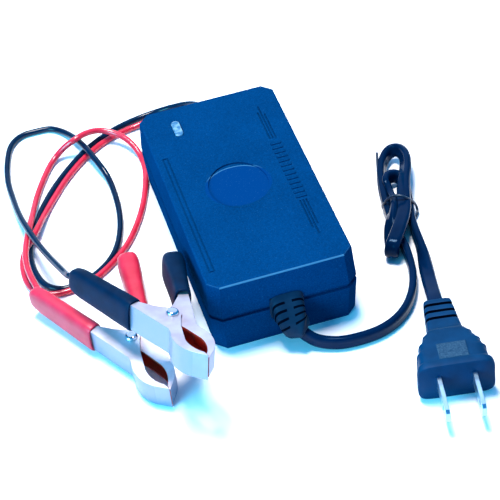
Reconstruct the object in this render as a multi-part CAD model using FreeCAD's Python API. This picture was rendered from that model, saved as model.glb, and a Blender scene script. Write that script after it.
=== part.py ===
"""Car battery charger: a small moulded power brick with a mains plug and two battery clips.

Millimetres. The origin is at the middle of the case's underside. X runs across the
case, Y along it from the mains cord end to the clip lead end, and Z is up. The cord,
the leads and the clips lie on the same surface as the case.
"""
import FreeCAD, Part
import math
import os

V = FreeCAD.Vector

# Case, two moulded shells
CASE_W = 56.0                # across the parting line
CASE_L = 107.5               # along the parting line
CASE_H = 30.8
PART_Z = 17.2                # lower edge of the top cover
TOP_DRAFT = 0.75             # how far each side leans in, from the parting line to the top
BASE_DRAFT = 0.95            # how far each side leans in, from the parting line to the underside
CORNER = 3.9                 # chamfer on the upright corners
TOP_EDGE_R = 0.7
WALL = 2.0
ROOF = 2.2
FLOOR = 2.2
GROOVE_H = 1.7               # shadow groove between the shells
GROOVE_IN = 0.9              # how far the groove is set in
LIP_H = 1.8                  # the base's lip stands this far up inside the cover
LIP_T = 1.0
SHELL_GAP = 0.32             # clearance between lip and cover

# Case screws, driven from below
SCREW_IN_X = 6.5             # from the side of the case to the screw
SCREW_IN_Y = 8.75            # from the end of the case to the screw
SCREW_X = CASE_W / 2 - SCREW_IN_X
SCREW_Y = CASE_L / 2 - SCREW_IN_Y
SCREW_D = 2.6
SCREW_HEAD_D = 5.0
SCREW_HEAD_H = 1.9
SCREW_L = 18.0
SCREW_SEAT_Z = 4.2           # depth of the counterbore in the underside
BOSS_D = 7.0
SCREW_PLAY = 0.06

# Badge, status window and moulded ornament on the roof
BADGE_L = 25.9
BADGE_W = 22.6
BADGE_DEPTH = 0.5
BADGE_X, BADGE_Y = -1.3, -1.4
LENS_L = 9.4
LENS_W = 3.3
LENS_IN = 14.65              # from the lead end of the case to the lens
LENS_X, LENS_Y = -14.4, CASE_L / 2 - LENS_IN
LENS_PROUD = 0.35
LENS_PLAY = 0.1
LED_D = 3.0
MARK_DEPTH = 0.3
MARK_W = 0.45
LEFT_MARK = [(-23.4, 23.4), (-23.4, -43.0)]          # ends of the long frame's middle line
LEFT_MARK_GAP = 1.7
RIGHT_MARK_X = 18.6
RIGHT_MARK_PITCH = 1.15
RIGHT_MARK_ENDS = [(40.0, 19.5), (-18.5, -38.0)]     # y from and to, of the two groups of lines
RIB_COUNT = 13
RIB_SPAN = (16.0, -16.5)     # y of the first and last rib between the groups
RIB_L = 4.1
RIB_T = 0.9
RIB_PROUD = 0.3

# Circuit board
BOARD_W = 49.0
BOARD_L = 82.0
BOARD_T = 1.6
BOARD_Z = 6.2                # underside of the board
BOARD_SCREW_X = 16.5
BOARD_SCREW_Y = 36.0
BOARD_SCREW_D = 2.0
BOARD_BOSS_D = 4.6
SOLDER_GAP = 0.2             # solder mask and solder under each component

# Mains cord, flat two-core, modelled at the round size of the same section
CORD_D = 3.8
CORD_GAP = 0.5
GLAND_X = -0.2
GLAND_Z = 15.2
GLAND_W = 12.6
GLAND_H = 11.2
GLAND_TIP_W = 7.6
GLAND_TIP_H = 6.0
GLAND_RIBS = 5
GLAND_COLLAR = 1.6           # flange inside the wall
GLAND_AXIS = [(0.0, 0.0, 0.0), (0.0, -9.0, -8.6), (5.2, -10.3, -10.3)]   # wall, bend, tip

# Clip leads
LEAD_D = 2.5
GROMMET_Z = 14.6
GROMMET_W = 10.0
GROMMET_H = 6.4
GROMMET_L = 7.0
LEAD_PITCH = 4.6

# Mains plug, two flat blades
BLADE_PITCH = 12.7
BLADE_W = 6.3
BLADE_T = 1.5
BLADE_L = 16.8
BLADE_ROOT = 9.0
PLUG_X, PLUG_Y = 46.1, -104.2
PLUG_YAW = -9.7
PLUG_FLANGE_W = 26.6
PLUG_FLANGE_H = 16.4
PLUG_FLANGE_T = 3.2
PLUG_BODY_W = 21.6
PLUG_BODY_H = 13.6
PLUG_NECK_W = 14.4
PLUG_COLLAR_W = 9.6
PLUG_L = 35.5
PLUG_COLLAR_L = 10.5
PLUG_RIBS = 6

# Battery clips; own frame: u to the jaw tip, v sideways, w along the rivet
CLIP_H = 10.2
STEEL_T = 0.9
NEST_GAP = 0.2               # between the outer and the inner half's flanges
JAW_TIP_U = 29.2
JAW_GAP = 0.15               # half the gap between the closed jaws
HANDLE_ANGLE = 17.1
WAIST = (8.4, 5.4)           # where the handle's line meets the jaw
JAW_STEP = (11.0, 5.9)
JAW_BULGE = (17.3, 7.0)
JAW_NOSE = (25.0, 4.1)
HANDLE_L = 47.0
HANDLE_DEPTH = 3.8
RIVET_D = 3.2
RIVET_HEAD_D = 4.7
RIVET_HEAD_H = 1.25
RIVET_PLAY = 0.05
SPRING_WIRE = 1.0
SPRING_R = 2.75
SPRING_TURNS = 3
SPRING_PITCH = 1.55
SPRING_LEG = 15.5
SPRING_SPREAD = 29.0         # angle of each leg to the clip's middle plane
SLEEVE_FRONT = 20.0          # distance back from the waist
SLEEVE_END = 55.0
SLEEVE_WALL = 0.85
SLEEVE_PLAY = 0.1
CRIMP_D = 2.7
CRIMP_L = 6.0
CLIPS = {
    # name: (x, y, z of the rivet axis at w = 0, heading, pitch, roll)
    "red": (-56.2, -44.5, 1.75, -76.8, 2.9, 2.1),
    "black": (-44.1, -60.9, 22.0, -78.4, -8.0, -12.0),
}

os.makedirs("parts", exist_ok=True)


def save(node, *shapes):
    """Write one sub-part's solids to its own file."""
    solids = [s for shape in shapes for s in shape.Solids]
    out = solids[0] if len(solids) == 1 else Part.makeCompound(solids)
    out.exportStep("parts/%s.step" % node)
    volume = sum(s.Volume for s in solids)
    print("%-28s %2d solid(s) %10.2f mm3 valid %s" % (node, len(solids), volume, out.isValid()))
    return out


def block(x0, x1, y0, y1, z0, z1):
    return Part.makeBox(x1 - x0, y1 - y0, z1 - z0, V(x0, y0, z0))


def centred(w, l, h, x, y, z):
    return Part.makeBox(w, l, h, V(x - w / 2, y - l / 2, z))


def rod(d, h, x, y, z, direction=V(0, 0, 1)):
    return Part.makeCylinder(d / 2, h, V(x, y, z), direction)


def extrude(points, z0, z1):
    """A prism over a closed outline of (x, y) points."""
    corners = [V(x, y, z0) for x, y in points]
    face = Part.Face(Part.makePolygon(corners + corners[:1]))
    return face.extrude(V(0, 0, z1 - z0))


def chamfered(half_x, half_y, cut, z):
    """Rectangle with cut corners, as a wire at height z."""
    pts = []
    for sx, sy in ((1, -1), (1, 1), (-1, 1), (-1, -1)):
        a = V(sx * half_x, sy * (half_y - cut), z)
        b = V(sx * (half_x - cut), sy * half_y, z)
        pts += [b, a] if sx * sy < 0 else [a, b]
    return Part.makePolygon(pts + pts[:1])


def tapered_block(low, high, z0, z1, inset=0.0):
    """Loft between two chamfered rectangles; low and high are (half x, half y)."""
    cut = CORNER - inset * (2 - math.sqrt(2))
    wires = [chamfered(low[0] - inset, low[1] - inset, cut, z0),
             chamfered(high[0] - inset, high[1] - inset, cut, z1)]
    return Part.makeLoft(wires, True, True)


def rounded_slab(w, h, r, z0, z1):
    """Rounded rectangle prism centred on the Z axis."""
    r = min(r, w / 2 - 0.01, h / 2 - 0.01)
    slab = centred(w, h, z1 - z0, 0, 0, z0)
    upright = [e for e in slab.Edges if abs(e.Vertexes[0].Z - e.Vertexes[1].Z) > (z1 - z0) / 2]
    return slab.makeFillet(r, upright)


def oval_wire(w, h, centre, normal, up):
    """Rounded rectangle wire, w wide and h high, square to normal."""
    up = V(up) - normal * up.dot(normal)
    up.normalize()
    side = normal.cross(up)
    r = 0.42 * min(w, h)
    a, b = w / 2 - r, h / 2 - r
    k = r * math.sqrt(0.5)
    edges = []

    def at(p, q):
        return centre + side * p + up * q

    for sp, sq, p_first in ((1, 1, True), (-1, 1, False), (-1, -1, True), (1, -1, False)):
        start = at(sp * (a + r), sq * b) if p_first else at(sp * a, sq * (b + r))
        end = at(sp * a, sq * (b + r)) if p_first else at(sp * (a + r), sq * b)
        mid = at(sp * (a + k), sq * (b + k))
        edges.append(Part.Arc(start, mid, end).toShape())
    corners = [(e.valueAt(e.FirstParameter), e.valueAt(e.LastParameter)) for e in edges]
    loop = []
    for i, edge in enumerate(edges):
        loop.append(edge)
        following = corners[(i + 1) % 4][0]
        if (following - corners[i][1]).Length > 1e-6:
            loop.append(Part.LineSegment(corners[i][1], following).toShape())
    return Part.Wire(loop)


RUN_SHARE = 0.45


def rounded_path(points):
    """Straight runs joined by tangent arcs; returns the wire and the arc radii."""
    pts = [V(*p) for p in points]
    edges, radii = [], []
    last = pts[0]
    for before, here, after in zip(pts[:-2], pts[1:-1], pts[2:]):
        back, on = before - here, after - here
        short = min(back.Length, on.Length)
        back.normalize()
        on.normalize()
        turn = math.pi - back.getAngle(on)
        cut = RUN_SHARE * short
        radius = cut / math.tan(turn / 2)
        middle = back + on
        middle.normalize()
        start, end = here + back * cut, here + on * cut
        mid = here + middle * (math.hypot(cut, radius) - radius)
        edges.append(Part.LineSegment(last, start).toShape())
        edges.append(Part.Arc(start, mid, end).toShape())
        radii.append(radius)
        last = end
    edges.append(Part.LineSegment(last, pts[-1]).toShape())
    return Part.Wire(edges), radii


def tube(name, points, d):
    """A round cord along the points, with its length, radii and volume printed."""
    path, radii = rounded_path(points)
    first = V(*points[1]) - V(*points[0])
    circle = Part.Wire([Part.Circle(V(*points[0]), first, d / 2).toShape()])
    solid = path.makePipeShell([circle], True, False)
    expected = math.pi * d * d / 4 * path.Length
    print("%-16s length %.1f smallest radii %s volume ratio %.4f"
          % (name, path.Length, [round(r, 1) for r in sorted(radii)[:4]], solid.Volume / expected))
    return solid, path


def least_gap_to_itself(path, d, skip):
    """Smallest gap between stretches of one tube that are more than skip apart along it."""
    count = int(path.Length / 0.8)
    pts = path.discretize(Number=count)
    step = path.Length / (count - 1)
    least = 1e9
    for i in range(count):
        for j in range(i + int(skip / step), count):
            least = min(least, (pts[i] - pts[j]).Length)
    return least - d


# Shell outlines at the four heights that matter, as half sizes
HALF_SEAM = (CASE_W / 2, CASE_L / 2)
HALF_TOP = (CASE_W / 2 - TOP_DRAFT, CASE_L / 2 - TOP_DRAFT * 1.9)
HALF_BASE = (CASE_W / 2 - BASE_DRAFT, CASE_L / 2 - BASE_DRAFT * 1.7)
BASE_TOP_Z = PART_Z - GROOVE_H
LIP_TOP_Z = PART_Z + LIP_H
PEG_TOP_Z = CASE_H - ROOF
LIP_HALF = (HALF_SEAM[0] - WALL - SHELL_GAP, HALF_SEAM[1] - WALL - SHELL_GAP)


def gland_section(t, w_scale, h_scale):
    """Section of the mains gland at t along its bent axis, from wall to tip."""
    p0, p1, p2 = [V(*p) for p in GLAND_AXIS]
    base = V(GLAND_X, -HALF_SEAM[1], GLAND_Z)
    point = p0 * (1 - t) ** 2 + p1 * (2 * t * (1 - t)) + p2 * t ** 2
    slope = (p1 - p0) * (1 - t) + (p2 - p1) * t
    slope.normalize()
    w = (GLAND_W * (1 - t) + GLAND_TIP_W * t) * w_scale
    h = (GLAND_H * (1 - t) + GLAND_TIP_H * t) * h_scale
    return oval_wire(w, h, base + point, slope, V(0, 0, 1)), base + point, slope


def opening_in_end(x, z, w, h, side):
    """Window through one end wall; side is -1 for the mains end and 1 for the lead end."""
    y = side * CASE_L / 2
    return block(x - w / 2, x + w / 2, y - 2 * WALL, y + 2 * WALL, z - h / 2, z + h / 2)


def collar_pockets():
    """Room behind the end walls for the collars of the gland and the grommet."""
    y = HALF_SEAM[1] - WALL
    mains = centred(GLAND_W + 1.8, GLAND_COLLAR + 0.2, GLAND_H + 1.8, GLAND_X,
                    -y + GLAND_COLLAR / 2 + 0.2, GLAND_Z - GLAND_H / 2 - 0.9)
    leads = centred(GROMMET_W + 1.4, 1.6, GROMMET_H + 1.4, 0, y - 0.9, GROMMET_Z - GROMMET_H / 2 - 0.7)
    return mains.fuse(leads)


def case_openings(play):
    mains = opening_in_end(GLAND_X, GLAND_Z, GLAND_W - 1.6 + play, GLAND_H - 1.6 + play, -1)
    leads = opening_in_end(0, GROMMET_Z, GROMMET_W - 1.6 + play, GROMMET_H - 1.6 + play, 1)
    return mains.fuse(leads)


def ornament_cuts():
    """Engraved lines, the badge dish and the lens window in the roof."""
    z0 = CASE_H - MARK_DEPTH
    z1 = CASE_H + 1
    cuts = []
    (x0, y0), (x1, y1) = LEFT_MARK
    for side in (-0.5, 0.5):
        x = x0 + side * LEFT_MARK_GAP
        cuts.append(block(x - MARK_W / 2, x + MARK_W / 2, y1, y0, z0, z1))
    for y in (y0, y1):
        half = LEFT_MARK_GAP / 2 + MARK_W / 2
        cuts.append(block(x0 - half, x0 + half, y - MARK_W / 2, y + MARK_W / 2, z0, z1))
    for y_from, y_to in RIGHT_MARK_ENDS:
        for i in (-1, 0, 1):
            x = RIGHT_MARK_X + i * RIGHT_MARK_PITCH
            short = 0.0 if i == 0 else (3.6 if i < 0 else 5.2)
            low, high = min(y_from, y_to), max(y_from, y_to)
            if y_from > 0:
                high -= short
            else:
                low += short
            cuts.append(block(x - MARK_W / 2, x + MARK_W / 2, low, high, z0, z1))
    return cuts


def badge_tool():
    """Ellipse for the badge dish."""
    ellipse = Part.Ellipse(V(0, 0, 0), BADGE_L / 2, BADGE_W / 2).toShape()
    face = Part.Face(Part.Wire([ellipse]))
    solid = face.extrude(V(0, 0, BADGE_DEPTH + 1))
    solid.rotate(V(0, 0, 0), V(0, 0, 1), 90)
    solid.translate(V(BADGE_X, BADGE_Y, CASE_H - BADGE_DEPTH))
    return solid


def lens_solid(grow, z0, z1):
    """Obround of the status window, longer along Y."""
    solid = rounded_slab(LENS_W + 2 * grow, LENS_L + 2 * grow, LENS_W / 2 + grow, z0, z1)
    solid.translate(V(LENS_X, LENS_Y, 0))
    return solid


def make_top_cover():
    outer = tapered_block(HALF_SEAM, HALF_TOP, PART_Z, CASE_H)
    roof_edges = [e for e in outer.Edges if min(v.Z for v in e.Vertexes) > CASE_H - 0.01]
    outer = outer.makeFillet(TOP_EDGE_R, roof_edges)
    inner = tapered_block(HALF_SEAM, HALF_TOP, PART_Z - 0.01, PEG_TOP_Z, WALL)
    cover = outer.cut(inner)
    boss_low = LIP_TOP_Z + 0.2
    for sx in (-1, 1):
        for sy in (-1, 1):
            boss = rod(BOSS_D, PEG_TOP_Z - boss_low + 0.5, sx * SCREW_X, sy * SCREW_Y, boss_low)
            cover = cover.fuse(boss)
    for sx in (-1, 1):
        for sy in (-1, 1):
            bore_l = SCREW_SEAT_Z + SCREW_L - boss_low + 0.8
            cover = cover.cut(rod(SCREW_D + SCREW_PLAY, bore_l, sx * SCREW_X, sy * SCREW_Y, boss_low))
    for i in range(RIB_COUNT):
        y = RIB_SPAN[0] + (RIB_SPAN[1] - RIB_SPAN[0]) * i / (RIB_COUNT - 1)
        cover = cover.fuse(centred(RIB_L, RIB_T, RIB_PROUD + 0.5, RIGHT_MARK_X, y, CASE_H - 0.5))
    cover = cover.cut(badge_tool())
    cover = cover.cut(Part.makeCompound(ornament_cuts()))
    cover = cover.cut(lens_solid(LENS_PLAY, PEG_TOP_Z - 1, CASE_H + 1))
    cover = cover.cut(case_openings(0.4)).cut(collar_pockets())
    return save("top_cover", cover)


def make_bottom_case():
    outer = tapered_block(HALF_BASE, HALF_SEAM, 0, BASE_TOP_Z)
    neck = tapered_block(HALF_SEAM, HALF_SEAM, BASE_TOP_Z - 0.01, PART_Z - 0.02, GROOVE_IN)
    lip = tapered_block(LIP_HALF, LIP_HALF, PART_Z - 0.1, LIP_TOP_Z)
    inside = tapered_block(HALF_BASE, HALF_SEAM, FLOOR, BASE_TOP_Z, WALL)
    lip_inside = tapered_block(LIP_HALF, LIP_HALF, BASE_TOP_Z - 0.02, LIP_TOP_Z + 1, LIP_T)
    base = outer.fuse(neck).fuse(lip).cut(inside).cut(lip_inside)
    post_top = LIP_TOP_Z + 0.1
    for sx in (-1, 1):
        for sy in (-1, 1):
            x, y = sx * SCREW_X, sy * SCREW_Y
            base = base.fuse(rod(BOSS_D, post_top - 1, x, y, 1))
            base = base.cut(rod(SCREW_HEAD_D + 1.0, SCREW_SEAT_Z, x, y, 0))
            base = base.cut(rod(SCREW_D + 4 * SCREW_PLAY, post_top, x, y, SCREW_SEAT_Z - 0.01))
    for sx in (-1, 1):
        for sy in (-1, 1):
            x, y = sx * BOARD_SCREW_X, sy * BOARD_SCREW_Y
            base = base.fuse(rod(BOARD_BOSS_D, BOARD_Z - FLOOR + 0.5, x, y, FLOOR - 0.5))
            base = base.cut(rod(BOARD_SCREW_D + SCREW_PLAY, BOARD_Z - FLOOR + 0.5, x, y, FLOOR - 0.2))
    base = base.cut(case_openings(0.4)).cut(collar_pockets())
    return save("bottom_case", base)


def pan_screw(d, head_d, head_h, length, x, y, z, down):
    """Screw whose head's bearing face is at z; down is True when it points down."""
    shaft_z = z - length if down else z
    head_z = z if down else z - head_h
    head = rod(head_d, head_h, x, y, head_z)
    rim_z = head_z + head_h if down else head_z
    rim = [e for e in head.Edges if abs(e.BoundBox.ZMin - rim_z) < 1e-6 and abs(e.BoundBox.ZMax - rim_z) < 1e-6]
    head = head.makeFillet(head_h * 0.45, rim)
    slot_z = rim_z - head_h * 0.5 if down else rim_z
    for w, l in ((0.7, head_d * 0.62), (head_d * 0.62, 0.7)):
        head = head.cut(centred(w, l, head_h * 0.5, x, y, slot_z))
    return head.fuse(rod(d, length, x, y, shaft_z))


def make_case_screws():
    screws = []
    for sx in (-1, 1):
        for sy in (-1, 1):
            screws.append(pan_screw(SCREW_D, SCREW_HEAD_D, SCREW_HEAD_H, SCREW_L,
                                    sx * SCREW_X, sy * SCREW_Y, SCREW_SEAT_Z, False))
    save("case_screws", *screws)


def make_board():
    board = centred(BOARD_W, BOARD_L, BOARD_T, 0, 0, BOARD_Z)
    for sx in (-1, 1):
        for sy in (-1, 1):
            board = board.cut(rod(BOSS_D + 0.8, 3 * BOARD_T, sx * SCREW_X, sy * SCREW_Y, BOARD_Z - BOARD_T))
    screws = []
    for sx in (-1, 1):
        for sy in (-1, 1):
            x, y = sx * BOARD_SCREW_X, sy * BOARD_SCREW_Y
            board = board.cut(rod(BOARD_SCREW_D + 0.4, BOARD_T + 1, x, y, BOARD_Z - 0.5))
            top = BOARD_Z + BOARD_T
            screws.append(pan_screw(BOARD_SCREW_D, 3.8, 1.3, BOARD_T + 2.6, x, y, top, True))
    save("circuit_board", board)
    save("board_screws", *screws)


SEAT = BOARD_Z + BOARD_T


def can(d, h, x, y):
    """Electrolytic capacitor standing on the board, with rounded rims."""
    body = rod(d, h, x, y, SEAT)
    return body.makeFillet(0.07 * d, [e for e in body.Edges if e.BoundBox.ZLength < 1e-6])


def make_components():
    """The converter's parts, mains side at -Y and output side at +Y."""
    fuse_z = SEAT + 2.8
    body = rod(4.6, 13.0, -15.5, -29.2, fuse_z, V(0, 1, 0))
    caps = [rod(5.2, 4.5, -15.5, y, fuse_z, V(0, 1, 0)) for y in (-33.7, -16.2)]
    save("fuse_glass", body)
    save("fuse_caps", *caps)
    save("thermistor", rod(9.0, 4.0, 0.0, -33.0, SEAT + 4.8, V(0, 1, 0)))
    save("x_capacitor", centred(6.0, 13.0, 11.0, 9.0, -29.5, SEAT))
    core = centred(16, 5.0, 14, -10, -7.5, SEAT).cut(centred(9.6, 5.2, 8.4, -10, -7.5, SEAT + 2.8))
    windings = []
    for x in (-16.4, -3.6):
        coil = centred(6.0, 8.0, 8.0, x, -7.5, SEAT + 3.0)
        windings.append(coil.cut(centred(3.3, 5.2, 8.2, x, -7.5, SEAT + 2.9)))
    save("line_choke_core", core)
    save("line_choke_windings", *windings)
    save("bridge_rectifier", centred(14.5, 3.4, 10.5, 13.0, -18.5, SEAT))
    save("bulk_capacitor", can(13.0, 17.0, 15.8, -4.8))
    make_transformer()
    save("primary_heatsink", centred(1.6, 21.0, 17.5, -22.0, 8.5, SEAT),
         centred(2.4, 1.4, 17.5, -20.0, -1.3, SEAT))
    save("switching_transistor", centred(4.4, 10.0, 14.5, -19.0, 7.5, SEAT + 1.0))
    save("controller_chip", centred(6.2, 4.0, 1.7, -12.5, 23.6, SEAT))
    save("optocoupler", centred(4.6, 6.4, 3.4, -18.6, 26.5, SEAT))
    save("y_capacitor", rod(7.0, 3.4, -6.0, 26.0, SEAT + 3.8, V(0, 1, 0)))
    save("secondary_heatsink", centred(1.6, 24.0, 17.0, 22.6, 22.0, SEAT))
    save("output_diode", centred(4.4, 10.0, 14.5, 19.5, 24.0, SEAT + 1.0))
    outputs = [can(8.0, 13.0, x, y) for x, y in ((11.8, 25.0), (9.9, 33.7))]
    save("output_capacitors", *outputs)
    save("output_choke", rod(9.5, 11.0, 1.0, 34.6, SEAT + 0.2).cut(rod(4.0, 12.0, 1.0, 34.6, SEAT)))
    save("output_choke_core", rod(3.8, 11.8, 1.0, 34.6, SEAT + 0.1))
    sheet_top = BOARD_Z - 1.4
    sheet = centred(BOARD_W - 17.5, BOARD_L - 4, 0.4, 0, 0, sheet_top - 0.4)
    for sx in (-1, 1):
        for sy in (-1, 1):
            hole = rod(BOARD_BOSS_D + 0.6, 2, sx * BOARD_SCREW_X, sy * BOARD_SCREW_Y, sheet_top - 1.4)
            sheet = sheet.cut(hole)
    save("insulation_sheet", sheet)


def make_transformer():
    x, y = -3.0, 9.5
    core_l, core_w, core_h = 22.0, 7.0, 17.0
    core = centred(core_l, core_w, core_h, x, y, SEAT + 1.2)
    for side in (-1, 1):
        window = centred(4.4, core_w + 1, core_h - 7.0, x + side * 5.3, y, SEAT + 1.2 + 3.5)
        core = core.cut(window)
    bobbin = centred(14.4, 15.4, core_h - 7.4, x, y, SEAT + 1.2 + 3.7)
    limb = centred(6.6, core_w + 0.4, core_h, x, y, SEAT + 1.2)
    sides = centred(14.6, 30, core_h, x, y, SEAT + 1.2).cut(centred(14.4, 16, core_h, x, y, SEAT + 1.2))
    winding = bobbin.cut(limb).cut(sides)
    save("transformer_core", core)
    save("transformer_winding", winding)
    pins = [centred(13.0, 3.0, 4.6, x, y + side * 5.6, SEAT) for side in (-1, 1)]
    save("transformer_pin_rails", *pins)


def make_led():
    z_top = PEG_TOP_Z - 1.2
    led_h = 5.2
    base_z = z_top - led_h
    body = rod(LED_D, led_h - LED_D / 2, LENS_X, LENS_Y, base_z)
    dome = Part.makeSphere(LED_D / 2, V(LENS_X, LENS_Y, z_top - LED_D / 2))
    rim = rod(LED_D + 0.8, 0.9, LENS_X, LENS_Y, base_z)
    legs_low = SEAT
    legs = [centred(0.5, 0.5, base_z - legs_low, LENS_X + s, LENS_Y, legs_low) for s in (-1.27, 1.27)]
    save("status_led", body.fuse(dome).fuse(rim).fuse(legs[0]).fuse(legs[1]))
    lens = lens_solid(0, PEG_TOP_Z - 0.9, CASE_H + LENS_PROUD)
    top = [e for e in lens.Edges if e.BoundBox.ZMin > CASE_H + LENS_PROUD - 1e-6]
    lens = lens.makeFillet(0.3, top)
    flange = lens_solid(0.9, PEG_TOP_Z - 0.9, PEG_TOP_Z - 0.02)
    save("led_lens", lens.fuse(flange))


def make_gland():
    """Moulded strain relief of the mains cord: a core with ribs, bent down to the surface."""
    inside = V(GLAND_X, -HALF_SEAM[1] + WALL, GLAND_Z)
    neck = GLAND_W - 1.6, GLAND_H - 1.6
    shank = centred(neck[0], WALL + 0.6, neck[1], inside.x, inside.y - WALL / 2 + 0.1, inside.z - neck[1] / 2)
    collar = centred(GLAND_W + 1.6, GLAND_COLLAR, GLAND_H + 1.6, inside.x,
                     inside.y + GLAND_COLLAR / 2 + 0.2, inside.z - GLAND_H / 2 - 0.8)
    core = Part.makeLoft([gland_section(t, 0.72, 0.72)[0] for t in (0.0, 0.35, 0.7, 1.0)], True, False)
    solid = core
    for i in range(GLAND_RIBS + 1):
        t0 = i / (GLAND_RIBS + 0.45)
        t1 = t0 + 0.42 / GLAND_RIBS
        solid = solid.fuse(Part.makeLoft([gland_section(min(t, 1.0), 1.0, 1.0)[0] for t in (t0, t1)], True, True))
    spine = Part.makeLoft([gland_section(t, 0.3, 1.0)[0] for t in (0.0, 0.35, 0.7, 1.0)], True, False)
    solid = solid.fuse(spine)
    wall = block(-GLAND_W, GLAND_W, -HALF_SEAM[1] - 0.05, -HALF_SEAM[1] + 9.0, 0, CASE_H)
    solid = solid.cut(wall).fuse(shank).fuse(collar)
    save("mains_strain_relief", solid)
    wires = []
    for side in (-1, 1):
        start = V(GLAND_X + side * 1.3, inside.y + GLAND_COLLAR + 0.2, GLAND_Z)
        wires.append(tube("mains core", [tuple(start), (start.x, start.y + 4.0, GLAND_Z),
                                         (start.x + side * 1.2, start.y + 7.6, SEAT + 2.2),
                                         (start.x + side * 1.3, start.y + 8.0, SEAT + 0.25)], 1.7)[0])
    save("mains_core_wires", *wires)
    return gland_section(1.0, 1.0, 1.0)[1:]


def make_grommet():
    """Oval grommet of the two clip leads, pressed into the lead end of the case."""
    y_in = HALF_SEAM[1] - WALL
    neck = centred(GROMMET_W - 1.6, WALL + 0.6, GROMMET_H - 1.6, 0, y_in + WALL / 2 - 0.1,
                   GROMMET_Z - GROMMET_H / 2 + 0.8)
    inner = centred(GROMMET_W + 1.2, 1.4, GROMMET_H + 1.2, 0, y_in - 0.9, GROMMET_Z - GROMMET_H / 2 - 0.6)
    root = V(0, HALF_SEAM[1] + 0.1, GROMMET_Z)
    along = V(0, 1, 0)
    sections = [oval_wire(GROMMET_W, GROMMET_H, root, along, V(0, 0, 1)),
                oval_wire(GROMMET_W - 1.0, GROMMET_H - 2.0, root + along * GROMMET_L, along, V(0, 0, 1))]
    snout = Part.makeLoft(sections, True, True)
    grommet = neck.fuse(inner).fuse(snout)
    save("lead_grommet", grommet)
    wires = []
    for side in (-1, 1):
        x = side * LEAD_PITCH / 2
        wires.append(tube("output core", [(x, y_in - 1.6, GROMMET_Z), (x, y_in - 5.0, GROMMET_Z),
                                          (x + side * 0.6, y_in - 9.0, SEAT + 3.0),
                                          (x + side * 0.7, y_in - 11.4, SEAT + 0.6)], 1.7)[0])
    save("output_core_wires", *wires)


# Plug, in its own frame: x across, y away from the blades, z up; face at y = 0
PLUG_Z = PLUG_FLANGE_H / 2


def place_plug(shape):
    shape = shape.copy()
    shape.rotate(V(0, 0, 0), V(0, 0, 1), PLUG_YAW)
    shape.translate(V(PLUG_X, PLUG_Y, PLUG_Z))
    return shape


def plug_point(x, y, z):
    a = math.radians(PLUG_YAW)
    return (PLUG_X + x * math.cos(a) - y * math.sin(a), PLUG_Y + x * math.sin(a) + y * math.cos(a), PLUG_Z + z)


def make_plug():
    def ring(y, w, h):
        return oval_wire(w, h, V(0, y, 0), V(0, 1, 0), V(0, 0, 1))

    flange = Part.makeLoft([ring(0, PLUG_FLANGE_W, PLUG_FLANGE_H),
                            ring(PLUG_FLANGE_T, PLUG_FLANGE_W - 0.6, PLUG_FLANGE_H - 0.4)], True, True)
    body_end = PLUG_L - PLUG_COLLAR_L
    body = Part.makeLoft([ring(PLUG_FLANGE_T - 0.1, PLUG_BODY_W + 1.2, PLUG_BODY_H),
                          ring(13.0, PLUG_BODY_W - 0.6, PLUG_BODY_H),
                          ring(19.5, PLUG_BODY_W - 4.4, PLUG_BODY_H - 0.8),
                          ring(body_end, PLUG_NECK_W, PLUG_BODY_H - 2.6)], True, True)
    core_w = PLUG_COLLAR_W * 0.72
    collar = Part.makeLoft([ring(body_end - 0.2, core_w + 1.4, 7.2), ring(PLUG_L, core_w, 5.8)], True, True)
    plug = flange.fuse(body).fuse(collar)
    pitch = PLUG_COLLAR_L / (PLUG_RIBS * 0.5 + 0.5)
    for i in range(PLUG_RIBS // 2 + 1):
        y0 = body_end + i * pitch
        y1 = min(y0 + pitch * 0.55, PLUG_L)
        plug = plug.fuse(Part.makeLoft([ring(y0, PLUG_COLLAR_W + 1.6 - 0.4 * i, 8.8 - 0.4 * i),
                                        ring(y1, PLUG_COLLAR_W + 1.4 - 0.4 * i, 8.6 - 0.4 * i)], True, True))
    blades = []
    for side in (-1, 1):
        x = side * BLADE_PITCH / 2
        blade = block(x - BLADE_T / 2, x + BLADE_T / 2, -BLADE_L, BLADE_ROOT, -BLADE_W / 2, BLADE_W / 2)
        tip = [e for e in blade.Edges if abs(e.BoundBox.YMax + BLADE_L) < 1e-6 and e.BoundBox.XLength > 1e-3]
        blade = blade.makeChamfer(1.2, tip)
        hole = rod(3.0, BLADE_T + 1, x - BLADE_T, -BLADE_L + 4.4, 0, V(1, 0, 0))
        blade = blade.cut(hole)
        pocket = block(x - BLADE_T / 2, x + BLADE_T / 2, -1, BLADE_ROOT, -BLADE_W / 2, BLADE_W / 2)
        plug = plug.cut(pocket)
        blades.append(place_plug(blade))
    save("plug_body", place_plug(plug))
    save("plug_blades", *blades)


# One clip half's outline, on the +v side
HANDLE_BACK = V(-math.cos(math.radians(HANDLE_ANGLE)), math.sin(math.radians(HANDLE_ANGLE)), 0)
HANDLE_IN = V(-HANDLE_BACK.y, HANDLE_BACK.x, 0)


def handle_point(back, inward=0.0):
    """Point on the handle, back from the waist and inward from its outer face."""
    p = V(WAIST[0], WAIST[1], 0) + HANDLE_BACK * back + HANDLE_IN * inward
    return p


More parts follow.
